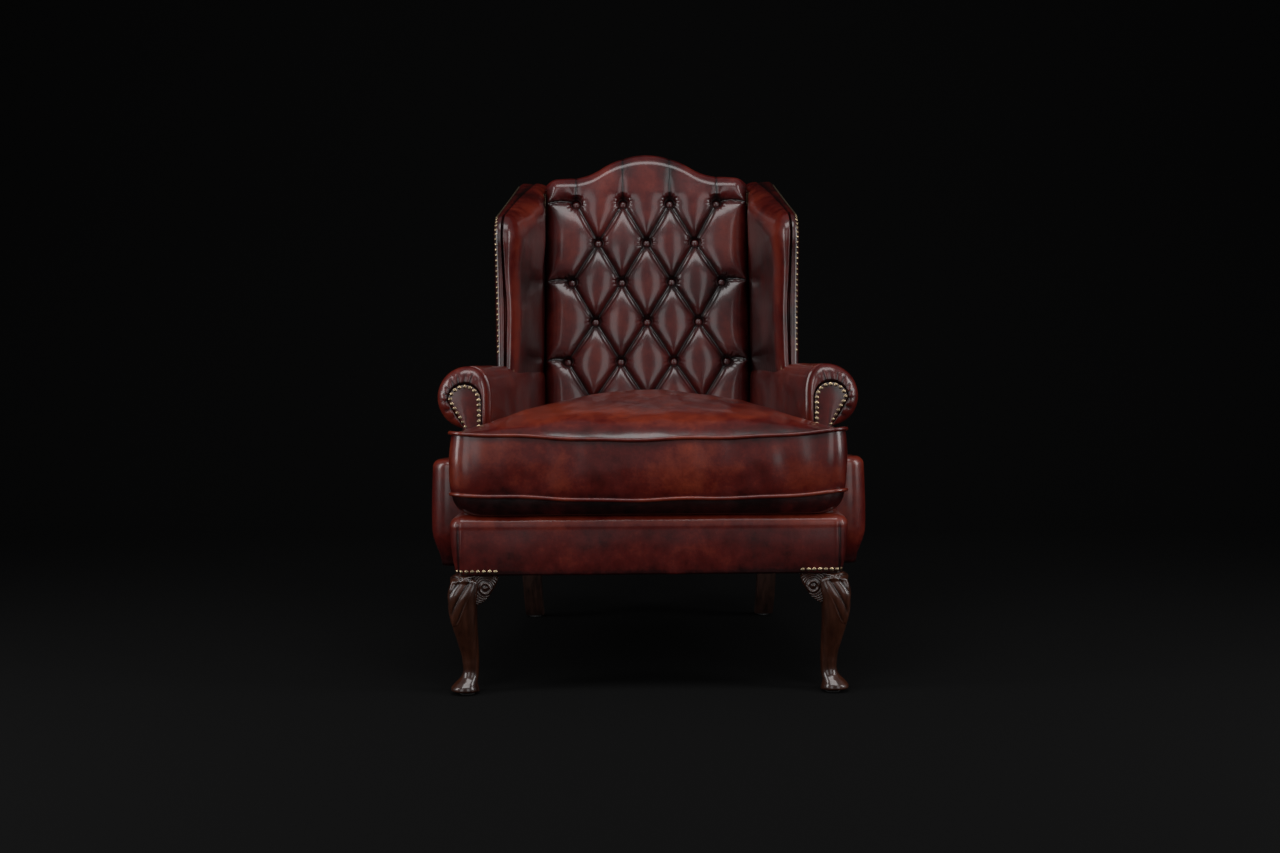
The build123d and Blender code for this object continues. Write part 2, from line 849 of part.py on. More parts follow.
# Lower side panels: padded, round at the top, the front corner and the bottom

def side_panel_plan(inset):
    """The side panel's outline in plan, drawn in on its outer side."""
    with BuildLine() as outline:
        inner = Line((rail_outer(post_rear), post_rear), (rail_outer(facing_front), facing_front))
        front = Line(inner @ 1, (side_panel_front - side_panel_nose - inset, facing_front))
        nose_end = (side_panel_front - inset, facing_front + side_panel_nose)
        nose = TangentArc(front @ 1, nose_end, tangent=front % 1)
        Polyline(nose @ 1, (side_panel_rear - inset, post_rear), inner @ 0)
    return outline.line


with BuildPart() as side_panel:
    for share, inset in zip(side_panel_level_shares, side_panel_insets):
        with BuildSketch(Plane.XY.offset(leg_height + share * side_panel_height)):
            make_face(side_panel_plan(inset))
    loft(ruled=True)
    with BuildSketch(Plane.XY.offset(rail_top)):
        start = facing_front - overrun
        end = post_rear + overrun
        Polygon(
            (0, start), (arm_neck(start) + panel_thickness, start),
            (neck_rear + panel_thickness, arm_end), (neck_rear + panel_thickness, end), (0, end),
            align=None)
    extrude(amount=side_panel_height, mode=Mode.SUBTRACT)
save_pair(side_panel.part, "side_panel")


# Wings

def wing_outline(back, down, foot):
    """The wing's side outline, moved back and down, closed at its foot."""
    with BuildLine() as outline:
        low = (wing_low[0] + back, wing_low[1] - down)
        waist = (wing_waist[0] + back, wing_waist[1] - down)
        cheek = (wing_cheek[0] + back, wing_cheek[1] - down)
        front = ThreePointArc(low, waist, cheek)
        brow = TangentArc(front @ 1, (wing_brow[0] + back, wing_brow[1] - down), tangent=front % 1)
        top = TangentArc(brow @ 1, (wing_peak[0] + back, wing_peak[1] - down), tangent=brow % 1)
        if foot:
            Polyline(top @ 1, ((top @ 1).X, foot), (low[0], foot), low)
    return outline


with BuildPart() as outside_wing:
    with BuildSketch(Plane.YZ):
        make_face(wing_outline(wing_step, wing_panel_drop, wing_foot).line)
    extrude(amount=side_panel_front)
    with BuildSketch(Plane.XY):
        start = wing_cheek[0] - overrun
        end = wing_peak[0] + overrun
        Polygon(
            (wing_outer(start) - panel_thickness, start), (wing_outer(start), start),
            (wing_outer(end), end), (wing_outer(end) - panel_thickness, end), align=None)
    extrude(amount=crest_height, mode=Mode.INTERSECT)
    cut_behind(post_depth)
    add(arm_pad.part, mode=Mode.SUBTRACT)
    add(rear_post.part, mode=Mode.SUBTRACT)
save_pair(outside_wing.part, "outside_wing")

with BuildPart() as wing_pad:
    with BuildSketch(Plane.YZ):
        make_face(wing_outline(0, 0, wing_foot).line)
    extrude(amount=side_panel_front)
    with BuildSketch(Plane.XY):
        start = wing_cheek[0] - overrun
        end = wing_peak[0] + overrun
        Polygon(
            (arm_inner(start) + wing_clearance, start), (arm_inner_rear + wing_clearance, arm_bend),
            (arm_inner_rear + wing_clearance, end), (wing_outer(end), end), (wing_outer(start), start),
            align=None)
    extrude(amount=crest_height, mode=Mode.INTERSECT)
    wing_rim = [
        edge for face in wing_pad.faces().filter_by(GeomType.CYLINDER)
        for edge in face.edges() if edge.geom_type != GeomType.LINE]
    fillet(wing_rim, radius=wing_edge_radius)
    cut_behind(0)
    for inner_piece in (arm_pad.part, wing_post.part, wing_rail, outside_wing.part):
        add(inner_piece, mode=Mode.SUBTRACT)
save_pair(wing_pad.part, "wing_pad")


# Back: webbing on the rails, a tufted pad in front of it and a board-backed panel behind

webbing_foot = up_back(lower_rail_bottom)
with BuildPart() as back_webbing:
    webbing_length = up_back(crest_rail_bottom) + lower_rail_height - webbing_foot
    webbing_middle = webbing_foot + webbing_length / 2
    with BuildSketch(back_plane):
        with Locations((0, webbing_middle)):
            with GridLocations(webbing_pitch, webbing_pitch, webbing_count, 1):
                Rectangle(webbing_width, webbing_length)
    extrude(amount=webbing_thickness)
save(back_webbing.part, "back_webbing")


def tuft_row(row):
    """The buttons of a row, as (x, distance up the back): four in even rows, three in odd."""
    height = up_back(tuft_top - row * tuft_pitch)
    spread = tuft_spread + row * tuft_spread_step
    shares = narrow_row_shares if row % 2 else wide_row_shares
    return [(share * spread, height) for share in shares]


tuft_places = [place for row in range(tuft_rows) for place in tuft_row(row)]


def tuft_cells():
    """The outline of each pillow between the buttons, clockwise from its top left."""
    side = arm_inner_rear - tuft_side_margin
    bottom = tuft_row(tuft_rows - 1)[0][1] - tuft_bottom_margin
    cells = []
    first = tuft_row(0)
    second = tuft_row(1)
    pleats = [-side] + [x for x, v in first] + [side]
    for left, right in zip(pleats, pleats[1:]):
        top = [(left, crest_at(left) - tuft_crest_margin), (right, crest_at(right) - tuft_crest_margin)]
        low = [(x, v) for x, v in second if left < x < right and abs(left) < side and abs(right) < side]
        cells.append(top + [(right, first[0][1])] + low + [(left, first[0][1])])
    for row in range(tuft_rows - 1):
        here = tuft_row(row)
        below = tuft_row(row + 1)
        under = tuft_row(row + 2) if row + 2 < tuft_rows else None
        if row % 2:
            if under:
                for i, top in enumerate(here):
                    cells.append([top, below[i + 1], under[i], below[i]])
        elif under:
            for i in (1, 2):
                cells.append([here[i], below[i], under[i], below[i - 1]])
            for i, sign in ((0, -1), (3, 1)):
                edge = [(sign * side, here[i][1]), (sign * side, under[i][1])]
                cells.append([here[i], edge[0], edge[1], under[i], below[0 if i == 0 else 2]])
        else:
            for i in (1, 2):
                ends = [below[i - 1], below[i]]
                cells.append([here[i], ends[1], (ends[1][0], bottom), (ends[0][0], bottom), ends[0]])
            for i, sign in ((0, -1), (3, 1)):
                last = below[0 if i == 0 else 2]
                corner = (sign * side, bottom)
                cells.append([here[i], last, (last[0], bottom), corner, (sign * side, here[i][1])])
    return cells


def clip_corners(outline):
    """Cut the corners of a pillow that lie at a button, to leave room for it."""
    clipped = []
    count = len(outline)
    for i, corner in enumerate(outline):
        if corner not in tuft_places:
            clipped.append(corner)
            continue
        for other in (outline[i - 1], outline[(i + 1) % count]):
            run = sqrt((other[0] - corner[0]) ** 2 + (other[1] - corner[1]) ** 2)
            share = tuft_corner / run
            clipped.append((
                corner[0] + share * (other[0] - corner[0]), corner[1] + share * (other[1] - corner[1])))
    return clipped


def pillow(outline):
    """One crowned pillow on the face of the slab."""
    corners = clip_corners(outline)
    middle_x = sum(x for x, v in corners) / len(corners)
    middle_v = sum(v for x, v in corners) / len(corners)
    with BuildPart() as crown:
        for level, scale in zip(pillow_level_shares, pillow_scale_shares):
            with BuildSketch(back_plane.offset(slab_face + level * pillow_height)):
                Polygon(*[
                    (middle_x + scale * (x - middle_x), middle_v + scale * (v - middle_v))
                    for x, v in corners], align=None)
        loft()
    return crown.part


slab_face = webbing_thickness + pad_thickness
pillows = [pillow(outline) for outline in tuft_cells()]

with BuildPart() as back_pad:
    with BuildSketch(back_plane.offset(webbing_thickness)):
        make_face(crest_outline(arm_inner_rear, up_back(deck_top + loose_gap)))
    extrude(amount=pad_thickness)
    for plane, half, depth in (
            (back_plane, post_outer, -post_depth), (back_plane, arm_inner_rear, webbing_thickness)):
        with BuildSketch(plane):
            make_face(crest_outline(half, post_head - crest_cover))
            make_face(crest_outline(half + overrun, 0, crest_cover), mode=Mode.SUBTRACT)
        extrude(amount=depth)
    add(pillows)
    with BuildSketch(back_plane):
        with Locations(*tuft_places):
            Circle(twine_radius + loose_gap)
    extrude(amount=slab_face + pillow_height, mode=Mode.SUBTRACT)
    with BuildSketch(back_plane.offset(slab_face)):
        with Locations(*tuft_places):
            Circle(button_radius + button_clearance)
    extrude(amount=pillow_height, mode=Mode.SUBTRACT)
save(back_pad.part, "back_pad")

with BuildPart() as button_twine:
    with BuildSketch(back_plane.offset(webbing_thickness)):
        with Locations(*tuft_places):
            Circle(twine_radius)
    extrude(amount=pad_thickness)
save(button_twine.part, "button_twine")


def add_domes(planes, radius, height):
    """Domes with a flat base on each plane, each a slice of a ball."""
    ball = (radius ** 2 + height ** 2) / (2 * height)
    low = degrees(asin((ball - height) / ball))
    with Locations(*[plane.location for plane in planes]):
        Sphere(ball, arc_size1=low, align=(Align.CENTER, Align.CENTER, Align.MIN))


with BuildPart() as back_buttons:
    button_face = back_plane.offset(slab_face)
    add_domes(
        [Plane(origin=button_face.from_local_coords((x, v, 0)), z_dir=back_plane.z_dir)
         for x, v in tuft_places],
        button_radius, button_height)
save(back_buttons.part, "back_buttons")

with BuildPart() as outside_back:
    with BuildSketch(Plane.YZ.offset(-wing_outer_rear)):
        front_side = behind_back(post_depth, leg_height)[:3]
        rear_side = behind_back(post_depth + panel_thickness, leg_height)[:3]
        Polygon(*front_side, *reversed(rear_side), align=None)
    extrude(amount=2 * wing_outer_rear)
    with BuildSketch(back_plane):
        make_face(crest_outline(wing_outer_rear, up_back(0)))
    extrude(amount=seat_depth, both=True, mode=Mode.INTERSECT)
save(outside_back.part, "outside_back")


# Loose seat cushion in the shape of a T, with a piped seam above and below its boxing

def t_plan(width_share, depth_share, grow=0, shift=0):
    """The T outline, scaled about the back of its ears, grown outwards and moved to the rear."""
    def place(x, y, way_x, way_y):
        return (width_share * x + way_x * grow, ear_back + depth_share * (y - ear_back) + way_y * grow + shift)

    right = [
        place(ear_half, cushion_front, 1, -1), place(ear_half, ear_back, 1, 1),
        place(cushion_body_front, ear_back, 1, 1), place(cushion_body_rear, cushion_back, 1, 1)]
    corners = right + [(-x, y) for x, y in reversed(right)]
    half = (ear_corner, ear_back_corner, neck_corner, rear_corner)
    signs = (1, 1, -1, 1)
    radii = [width_share * radius + sign * grow for radius, sign in zip(half, signs)]
    with BuildLine() as outline:
        FilletPolyline(*corners, radius=radii + radii[::-1], close=True)
    return outline


with BuildPart() as seat_cushion:
    underside = deck_top + loose_gap
    for level, scale in zip(under_level_shares, under_scale_shares):
        with BuildSketch(Plane.XY.offset(underside + level * (seam_low - underside))):
            make_face(t_plan(scale, scale).line)
    loft()
    for height, grow in ((seam_low, 0), ((seam_low + seam_high) / 2, boxing_bulge), (seam_high, 0)):
        with BuildSketch(Plane.XY.offset(height)):
            make_face(t_plan(1, 1, grow).line)
    loft()
    crown_shares = zip(crown_level_shares, crown_width_shares, crown_depth_shares, crown_shift_shares)
    for level, width, depth, shift in crown_shares:
        with BuildSketch(Plane.XY.offset(seam_high + level * crown_height)):
            make_face(t_plan(width, depth, 0, shift * (cushion_back - cushion_front)).line)
    loft()
save(seat_cushion.part, "seat_cushion")

for height, label in ((seam_low, "cushion_piping_bottom"), (seam_high, "cushion_piping_top")):
    seam_wire = t_plan(1, 1, piping_radius + piping_gap).wire().moved(Location((0, 0, height)))
    with BuildPart() as piping:
        with BuildSketch(Plane(origin=seam_wire @ 0, z_dir=seam_wire % 0)):
            Circle(piping_radius)
        sweep(path=seam_wire)
    save(piping.part, label)


# Brass nails

def spaced(wire, pitch):
    """Evenly spaced points along a line, at about a pitch."""
    count = round(wire.length / pitch)
    return [wire @ (i / count) for i in range(count + 1)]


with BuildPart() as facing_nails:
    facing_row = spaced(facing_outline(facing_nail_inset, facing_nail_start), nail_pitch)
    add_domes(
        [Plane(origin=(point.X, facing_front, point.Y), z_dir=(0, -1, 0)) for point in facing_row],
        nail_radius, nail_dome)
save_pair(facing_nails.part, "facing_nails")

with BuildPart() as wing_nails:
    wing_edge = wing_outline(0, 0, 0).wire()
    wing_nail_count = round(wing_edge.length / wing_nail_pitch)
    across = cos(radians(wing_nail_turn))
    setback = wing_edge_radius * (1 - across) + wing_nail_sink * across
    planes = []
    for i in range(wing_nail_count + 1):
        point = wing_edge @ (i / wing_nail_count)
        way = wing_edge % (i / wing_nail_count)
        y = point.X + setback * way.Y
        z = point.Y - setback * way.X
        if z > arm_top + 2 * nail_pitch and y < post_front + (z - rake_start) * tan(lean) - nail_radius:
            planes.append(Plane(
                origin=(wing_outer(y) - setback, y, z),
                z_dir=(across, -across * way.Y, across * way.X)))
    add_domes(planes, nail_radius, nail_dome)
    add(wing_pad.part, mode=Mode.SUBTRACT)
save_pair(wing_nails.part, "wing_nails")

with BuildPart() as leg_nails_right:
    nail_height = leg_height + leg_nail_rise
    half_here = line_at((leg_height, border_bottom_half), (lip_start, border_half), nail_height)
    corner_x = half_here - border_corner
    corner_y = front_face + border_corner
    lean_out = nail_radius * (border_half - border_bottom_half) / (lip_start - leg_height)
    planes = []
    for i in range(leg_nail_count):
        run = leg_nail_first + i * leg_nail_pitch
        angle = max(0, run - corner_x) / border_corner
        along = min(run, corner_x)
        reach = border_corner + (lean_out if angle else 0)
        planes.append(Plane(
            origin=(along + reach * sin(angle), corner_y - reach * cos(angle), nail_height),
            z_dir=(sin(angle), -cos(angle), 0)))
    add_domes(planes, nail_radius, nail_dome)
with BuildPart() as leg_nails:
    add(leg_nails_right.part)
    mirror(leg_nails_right.part, about=Plane.YZ)
save(leg_nails.part, "leg_nails")


def back_nail_planes():
    """Nail places up both sides of the outside back and over its crest."""
    nail_edge = wing_outer_rear - back_nail_inset
    rear_face = back_plane.offset(-post_depth - panel_thickness)
    with BuildLine() as crest:
        add(crest_outline(nail_edge, back_nail_pitch, back_nail_inset).edges())
    raked = spaced(crest.wire(), back_nail_pitch)
    planes = [
        Plane(origin=rear_face.from_local_coords((point.X, point.Y, 0)), z_dir=-rear_face.z_dir)
        for point in raked if point.Y > back_nail_pitch + nail_radius]
    lower_rear = post_rear + panel_thickness
    lower_count = int((rake_start - leg_height) / back_nail_pitch)
    for i in range(1, lower_count):
        for side in (-1, 1):
            planes.append(Plane(
                origin=(side * nail_edge, lower_rear, leg_height + i * back_nail_pitch), z_dir=(0, 1, 0)))
    return planes


with BuildPart() as back_nails:
    add_domes(back_nail_planes(), nail_radius, nail_dome)
save(back_nails.part, "back_nails")
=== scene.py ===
import json
import math

import bmesh
import bpy
import numpy as np
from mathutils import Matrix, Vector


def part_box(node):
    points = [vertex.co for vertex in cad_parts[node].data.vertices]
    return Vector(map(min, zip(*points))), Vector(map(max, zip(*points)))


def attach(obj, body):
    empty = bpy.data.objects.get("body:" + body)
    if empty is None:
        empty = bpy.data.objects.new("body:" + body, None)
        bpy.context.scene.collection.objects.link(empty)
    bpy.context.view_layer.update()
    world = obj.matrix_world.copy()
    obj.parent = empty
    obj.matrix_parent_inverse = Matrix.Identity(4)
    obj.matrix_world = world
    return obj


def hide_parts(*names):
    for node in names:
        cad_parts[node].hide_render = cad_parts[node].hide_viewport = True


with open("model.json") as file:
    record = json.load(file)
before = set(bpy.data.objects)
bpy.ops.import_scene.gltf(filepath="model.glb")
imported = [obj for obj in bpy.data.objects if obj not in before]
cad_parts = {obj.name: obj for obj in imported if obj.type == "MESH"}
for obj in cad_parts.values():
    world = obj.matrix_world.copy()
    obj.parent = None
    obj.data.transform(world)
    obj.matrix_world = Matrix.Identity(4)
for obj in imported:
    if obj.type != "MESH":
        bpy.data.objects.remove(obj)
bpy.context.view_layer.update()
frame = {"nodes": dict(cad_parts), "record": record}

# Shapes are worked out in millimetres, and become metres when a mesh is made.
# The chair faces -Y. Pieces of one side are made at +X, and again mirrored for the left.
# The rub value, from 0 to 1, sets how dark or bright the hide or the timber is at a point: wear, with painted
# shade in creases, grooves, pits and undersides and painted highlights on rolls, crowns and tops.
MM = 0.001
X, Y, Z = 0, 1, 2


def low(node, axis):
    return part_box(node)[0][axis] / MM


def high(node, axis):
    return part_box(node)[1][axis] / MM


# Seat and posts
leg_height = low("dust_cover", Z)
rail_top = high("front_rail", Z)
deck_top = high("deck_pad", Z)
front_face = low("front_border", Y)
border_half = high("front_border", X)
border_bottom_half = 356
border_back = high("front_border", Y)
border_corner = 22
border_lip = 24
post_recess = 6
post_front = low("back_rail", Y) - post_recess
post_depth = 42
post_inner = 255
post_rear = post_front + post_depth
panel_thickness = 8

# Raked back
lean = math.radians(9)
rake_start = 400
crest_cover = 20
crest_height = high("crest_rail", Z) + crest_cover * math.cos(lean)
shoulder_height = 1038
hump_half = 105
hump_drop = 31.6
shoulder_half = 173

# Tufting: the rows of buttons, the pleats between them and the pillows that they draw in
tuft_rows = 6
tuft_top = 974
tuft_pitch = 92
tuft_spread = 109
tuft_spread_step = 3.3
pleat_foot = 35
pleat_crest = 50
pleat_arch = 7
pleat_edge = 22
pillow_top = 67.5
pillow_reach = 46
pit_radius = 9.3
pit_run = 14
fold_depth = 2.0
gather_depth = 0.8
crease_half = 1.8
crest_roll = 30
button_radius = 10
button_height = 8.5
button_wall = 3.0

# Arms
arm_front = high("arm_facing_right", Y)
facing_front = low("arm_facing_right", Y)
arm_top = 605
arm_inner_front = 306
arm_inner_rear = 236
arm_bend = 200
arm_end = 310
roll_places = (arm_front, arm_bend, arm_end)
roll_middles = (343, 268, 266)
roll_radii = (60, 40, 34)
neck_front = 352
neck_rear = 297
facing_inner = low("arm_facing_right", X)
facing_neck = 351
facing_head = 31
facing_head_height = 539
facing_waist = 491
roll_edge = 20
roll_power = 2.35

# Wings: the edge runs up from the arm and back to the crest. Tips are how far out its roll starts.
wing_outer_front = 316
wing_outer_rear = 305
wing_step = 15.5
wing_drop = 12
wing_foot = 584
wing_edge_radius = 15
wing_low = (-57, 590)
wing_waist = (-55, 700)
wing_cheek = (-73, 860)
wing_brow = (-35, 921)
wing_peak = (395, 1041)
root_shares = (0, 0.36, 0.46, 1)
root_heights = (835, 885, 1030)
tip_levels = (584, 625, 665, 700, 736, 777, 830, 886, 921, 960, 1000, 1041)
tip_places = (291, 290, 289, 288, 288, 290, 292, 293, 292, 286, 277, 262)
tip_sizes = (50, 52, 55, 56, 57, 57, 56, 55, 55, 46, 34, 12)
groove_depth = 13
groove_fade = (880, 940)
welt_top = 812
welt_radius = 1.9
edge_points = 150

# Side panels
side_front = 416
side_rear = 322
side_nose = 35
side_inner_rear = 300
side_inner_front = 349
side_top = high("side_panel_right", Z)
side_lip = 16
side_sweep = 15

# Cushion
cushion_front = -423
ear_half = 361
ear_back = -313
body_front = 296
body_rear = 224.5
cushion_back = 212
seam_low = 362
seam_high = 476
crown_top = 553
crown_levels = (0, 0.13, 0.31, 0.52, 0.675, 0.78, 0.92, 1)
crown_widths = (1, 0.93, 0.82, 0.69, 0.57, 0.47, 0.27, 0.09)
crown_depths = (1, 0.955, 0.87, 0.75, 0.62, 0.5, 0.28, 0.1)
crown_shifts = (0, 0.01, 0.03, 0.07, 0.13, 0.19, 0.305, 0.43)
piping_radius = 3.5

# Legs: levels, outer faces, widths and corner roundness, from the frame to the foot
leg_front = -403
leg_face = 350
leg_levels = (303, 224, 222, 205, 188, 168, 128, 94, 59, 30, 20, 12, 6, 4)
leg_faces = (350, 350, 356.5, 365, 369, 369, 364, 355, 347.5, 351, 361, 367, 365, 360)
leg_widths = (42, 42, 48, 53, 55, 52, 46, 38, 31, 33, 42, 50, 49, 44)
leg_powers = (9, 9, 5.5, 4.5, 3.8, 3.2, 2.7, 2.4, 2.1, 2, 2, 2, 2, 2)
leaf_top = 222
leaf_tip = 128

# Dust cloth: its outline under the rails, from the front corner blocks to the rear posts
cloth_front = (-361, 349)
cloth_rear = (273, 304)
cloth_front_half = 308


# Small helpers for shapes

def smoothstep(start, end, value):
    t = np.clip((value - start) / (end - start), 0, 1)
    return t * t * (3 - 2 * t)


def mix(a, b, share):
    return a + (b - a) * share


def bell(offset, width):
    """A bump of 1 where the offset is 0, which falls away over the width."""
    return np.exp(-(offset / width) ** 2)


def tuck(spread, reach):
    """How deep a cover drops into its seam, from 1 at the seam to 0 at the reach."""
    return 1 - np.sqrt(np.clip(spread / reach, 0, 1))


def quarter_turn(count):
    """Angles up to a right angle, without the first."""
    return np.linspace(0, math.pi / 2, count)[1:]


def from_ends(count):
    """How many places each place in a row is from the nearer end."""
    return np.minimum(np.arange(count), np.arange(count)[::-1])


def join(x, y, z):
    """Points from their coordinates, each a number or a grid."""
    return np.stack(np.broadcast_arrays(x, y, z), axis=-1).astype(float)


def at_height(plan, z):
    return join(plan[:, 0], plan[:, 1], z)


def stand_up(section, y):
    """The points of an (x, z) section at a place along the chair."""
    return join(section[:, 0], y, section[:, 1])


def lumps(points, size, seed):
    """A smooth uneven field from -1 to 1 whose lumps have about the given size."""
    draw = np.random.default_rng(seed)
    waves = 9
    total = np.zeros(points.shape[:-1])
    for _ in range(waves):
        way = draw.normal(size=3)
        way *= draw.uniform(0.6, 1.5) * math.tau / size / np.linalg.norm(way)
        total += np.sin(points @ way + draw.uniform(0, math.tau))
    return total / (waves / 2)


def resample(path, count):
    """Evenly spaced points along a polyline, ends included."""
    steps = np.r_[0, np.cumsum(np.linalg.norm(np.diff(path, axis=0), axis=1))]
    at = np.linspace(0, steps[-1], count)
    return np.stack([np.interp(at, steps, path[:, i]) for i in range(path.shape[1])], axis=-1)


def hermite(levels, values, at):
    """A smooth curve through a table of levels and values."""
    order = np.argsort(levels)
    z = np.array(levels, float)[order]
    v = np.array(values, float)[order]
    slope = np.gradient(v, z)
    at = np.clip(at, z[0], z[-1])
    i = np.clip(np.searchsorted(z, at) - 1, 0, len(z) - 2)
    run = z[i + 1] - z[i]
    t = (at - z[i]) / run
    rise = v[i + 1] - v[i]
    curve = (t ** 3 - 2 * t ** 2 + t) * run * slope[i] + (t ** 3 - t ** 2) * run * slope[i + 1]
    return v[i] + rise * (3 * t ** 2 - 2 * t ** 3) + curve


def arc_from(start, angle, end, count=24):
    """Points of the arc that leaves start at an angle and reaches end, and its last angle."""
    start, end = np.array(start, float), np.array(end, float)
    chord = end - start
    half = math.atan2(chord[1], chord[0]) - angle
    half = (half + math.pi) % math.tau - math.pi
    radius = np.linalg.norm(chord) / (2 * math.sin(half))
    centre = start + radius * np.array([-math.sin(angle), math.cos(angle)])
    turn = angle - math.pi / 2 + np.linspace(0, 2 * half, count)
    points = centre + radius * np.stack([np.cos(turn), np.sin(turn)], axis=-1)
    return points, angle + 2 * half


def arc_through(start, middle, end, count=40):
    """Points of the arc through three points, and its last angle."""
    a, b, c = (complex(*point) for point in (start, middle, end))
    w = (c - a) / (b - a)
    centre = (b - a) * (w - abs(w) ** 2) / (2j * w.imag) + a
    first, last = np.angle(a - centre), np.angle(c - centre)
    side = 1 if w.imag > 0 else -1
    if (last - first) * side < 0:
        last += side * math.tau
    points = centre + abs(a - centre) * np.exp(1j * np.linspace(first, last, count))
    return np.stack([points.real, points.imag], axis=-1), last + side * math.pi / 2


def unit_steps(path, closed=False):
    """A path's direction at each of its points."""
    step = np.roll(path, -1, axis=0) - np.roll(path, 1, axis=0) if closed else np.gradient(path, axis=0)
    return step / np.linalg.norm(step, axis=1, keepdims=True)


def left_of(path, closed=False):
    """Unit vectors to the left of a flat path."""
    way = unit_steps(path, closed)
    return np.stack([-way[:, 1], way[:, 0]], axis=-1)


def swell(grid, amount):
    """A grid moved out along its normals."""
    normal = np.cross(np.gradient(grid, axis=0), np.gradient(grid, axis=1))
    normal /= np.maximum(np.linalg.norm(normal, axis=-1, keepdims=True), 1e-9)
    return grid + normal * amount[..., None]


# Meshes

def grid_faces(rows, cols, wrap):
    last = cols if wrap else cols - 1
    row, col = np.meshgrid(np.arange(rows - 1), np.arange(last), indexing="ij")
    beside = (col + 1) % cols
    quads = [row * cols + col, row * cols + beside, (row + 1) * cols + beside, (row + 1) * cols + col]
    return np.stack(quads, axis=-1).reshape(-1, 4).tolist()


def add_object(name, data):
    thing = bpy.data.objects.new(name, data)
    bpy.context.scene.collection.objects.link(thing)
    return thing


def make_piece(name, points, faces, wear_and_light):
    """A smooth mesh from points in millimetres, with the rub value of each of them: wear, painted shade and
    painted highlights.
    """
    mesh = bpy.data.meshes.new(name)
    mesh.from_pydata((np.asarray(points) * MM).tolist(), [], faces)
    mesh.validate()
    wear_and_light = np.broadcast_to(np.asarray(wear_and_light, float), len(points))
    mesh.attributes.new("wear_and_light", "FLOAT", "POINT").data.foreach_set("value", np.ascontiguousarray(wear_and_light))
    bm = bmesh.new()
    bm.from_mesh(mesh)
    bmesh.ops.recalc_face_normals(bm, faces=bm.faces)
    bm.to_mesh(mesh)
    bm.free()
    mesh.shade_smooth()
    return add_object(name, mesh)


def flip(points):
    return np.asarray(points) * (-1.0, 1.0, 1.0)


def grid_piece(name, grid, wear_and_light, hidden=None, side=1):
    """A closed piece from a grid. Without a hidden point the grid is a tube, capped at its ends. With
    one it is a sheet, closed behind by a fan from its rim to that point."""
    rows, cols = grid.shape[:2]
    tube = hidden is None
    hubs = [grid[0].mean(axis=0), grid[-1].mean(axis=0)] if tube else [hidden]
    if side < 0:
        grid, hubs = flip(grid), [flip(hub) for hub in hubs]
    index = np.arange(rows * cols).reshape(rows, cols)
    rim = np.concatenate([index[0], index[1:, -1], index[-1, -2::-1], index[-2:0:-1, 0]])
    points = grid.reshape(-1, 3)
    wear_and_light = np.broadcast_to(wear_and_light, (rows, cols)).reshape(-1)
    faces = grid_faces(rows, cols, tube)
    for loop, hub in zip([index[0], index[-1]] if tube else [rim], hubs):
        faces += [(a, b, len(points)) for a, b in zip(loop.tolist(), np.roll(loop, -1).tolist())]
        points = np.vstack([points, hub])
        wear_and_light = np.append(wear_and_light, 0.3)
    return make_piece(name, points, faces, wear_and_light)


def tube_piece(name, path, radius, sides, wear_and_light, closed=False):
    """A round tube along a path, kept from twisting."""
    ahead = unit_steps(path, closed)
    side = np.cross(ahead[0], (0.31, 0.17, 0.94))
    turn = np.linspace(0, math.tau, sides, endpoint=False)[:, None]
    rings = []
    for point, way in zip(path, ahead):
        side = side - way * (side @ way)
        side /= np.linalg.norm(side)
        rings.append(point + radius * (np.cos(turn) * side + np.sin(turn) * np.cross(way, side)))
    if not closed:
        return grid_piece(name, np.array(rings), wear_and_light)
    points = np.concatenate(rings)
    faces = [[i % len(points) for i in face] for face in grid_faces(len(rings) + 1, sides, True)]
    shift = np.argmin(np.linalg.norm(rings[0] - rings[-1][0], axis=1))
    for face in faces[-sides:]:
        face[2:] = [(i + shift) % sides for i in face[2:]]
    return make_piece(name, points, faces, wear_and_light)


def dress(piece, slot, node=None, body="chair"):
    """Give a piece its slot's material and its body, and hide the CAD node that it stands for."""
    piece.data.materials.append(slot_materials[slot])
    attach(piece, body)
    if node:
        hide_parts(node)
    return piece


def make_cover(name, node, grid, wear_and_light, hidden=None, side=1, slot="leather", body="chair"):
    """A piece from a grid that stands for a CAD node."""
    return dress(grid_piece(name, grid, wear_and_light, hidden, side), slot, node, body)


# Materials

def new_material(name):
    material = bpy.data.materials.new(name)
    material.use_nodes = True
    tree = material.node_tree
    tree.nodes.clear()
    output = tree.nodes.new("ShaderNodeOutputMaterial")
    skin = tree.nodes.new("ShaderNodeBsdfPrincipled")
    tree.links.new(skin.outputs[0], output.inputs[0])
    return material, tree, skin


def feed(tree, node, inputs):
    """Give a node its inputs: numbers and colours, or other nodes' outputs to link."""
    for key, value in inputs.items():
        if isinstance(value, bpy.types.NodeSocket):
            tree.links.new(value, node.inputs[key])
        else:
            node.inputs[key].default_value = value


def add_node(tree, kind, inputs=None, **settings):
    node = tree.nodes.new("ShaderNode" + kind)
    for key, value in settings.items():
        setattr(node, key, value)
    feed(tree, node, inputs or {})
    return node


def bumped(tree, skin, height, strength, depth, inputs):
    """Give a skin its inputs, and a bump whose depth is in metres."""
    bump = add_node(tree, "Bump", {"Height": height, "Strength": strength, "Distance": depth})
    feed(tree, skin, {**inputs, "Normal": bump.outputs[0]})


def object_coords(tree, stretch=(1, 1, 1)):
    place = add_node(tree, "TexCoord")
    return add_node(tree, "Mapping", {"Vector": place.outputs["Object"], "Scale": stretch}).outputs[0]


def noise_value(tree, coords, scale, detail=3.0, rough=0.55):
    inputs = {"Vector": coords, "Scale": scale, "Detail": detail, "Roughness": rough}
    return add_node(tree, "TexNoise", inputs).outputs["Fac"]


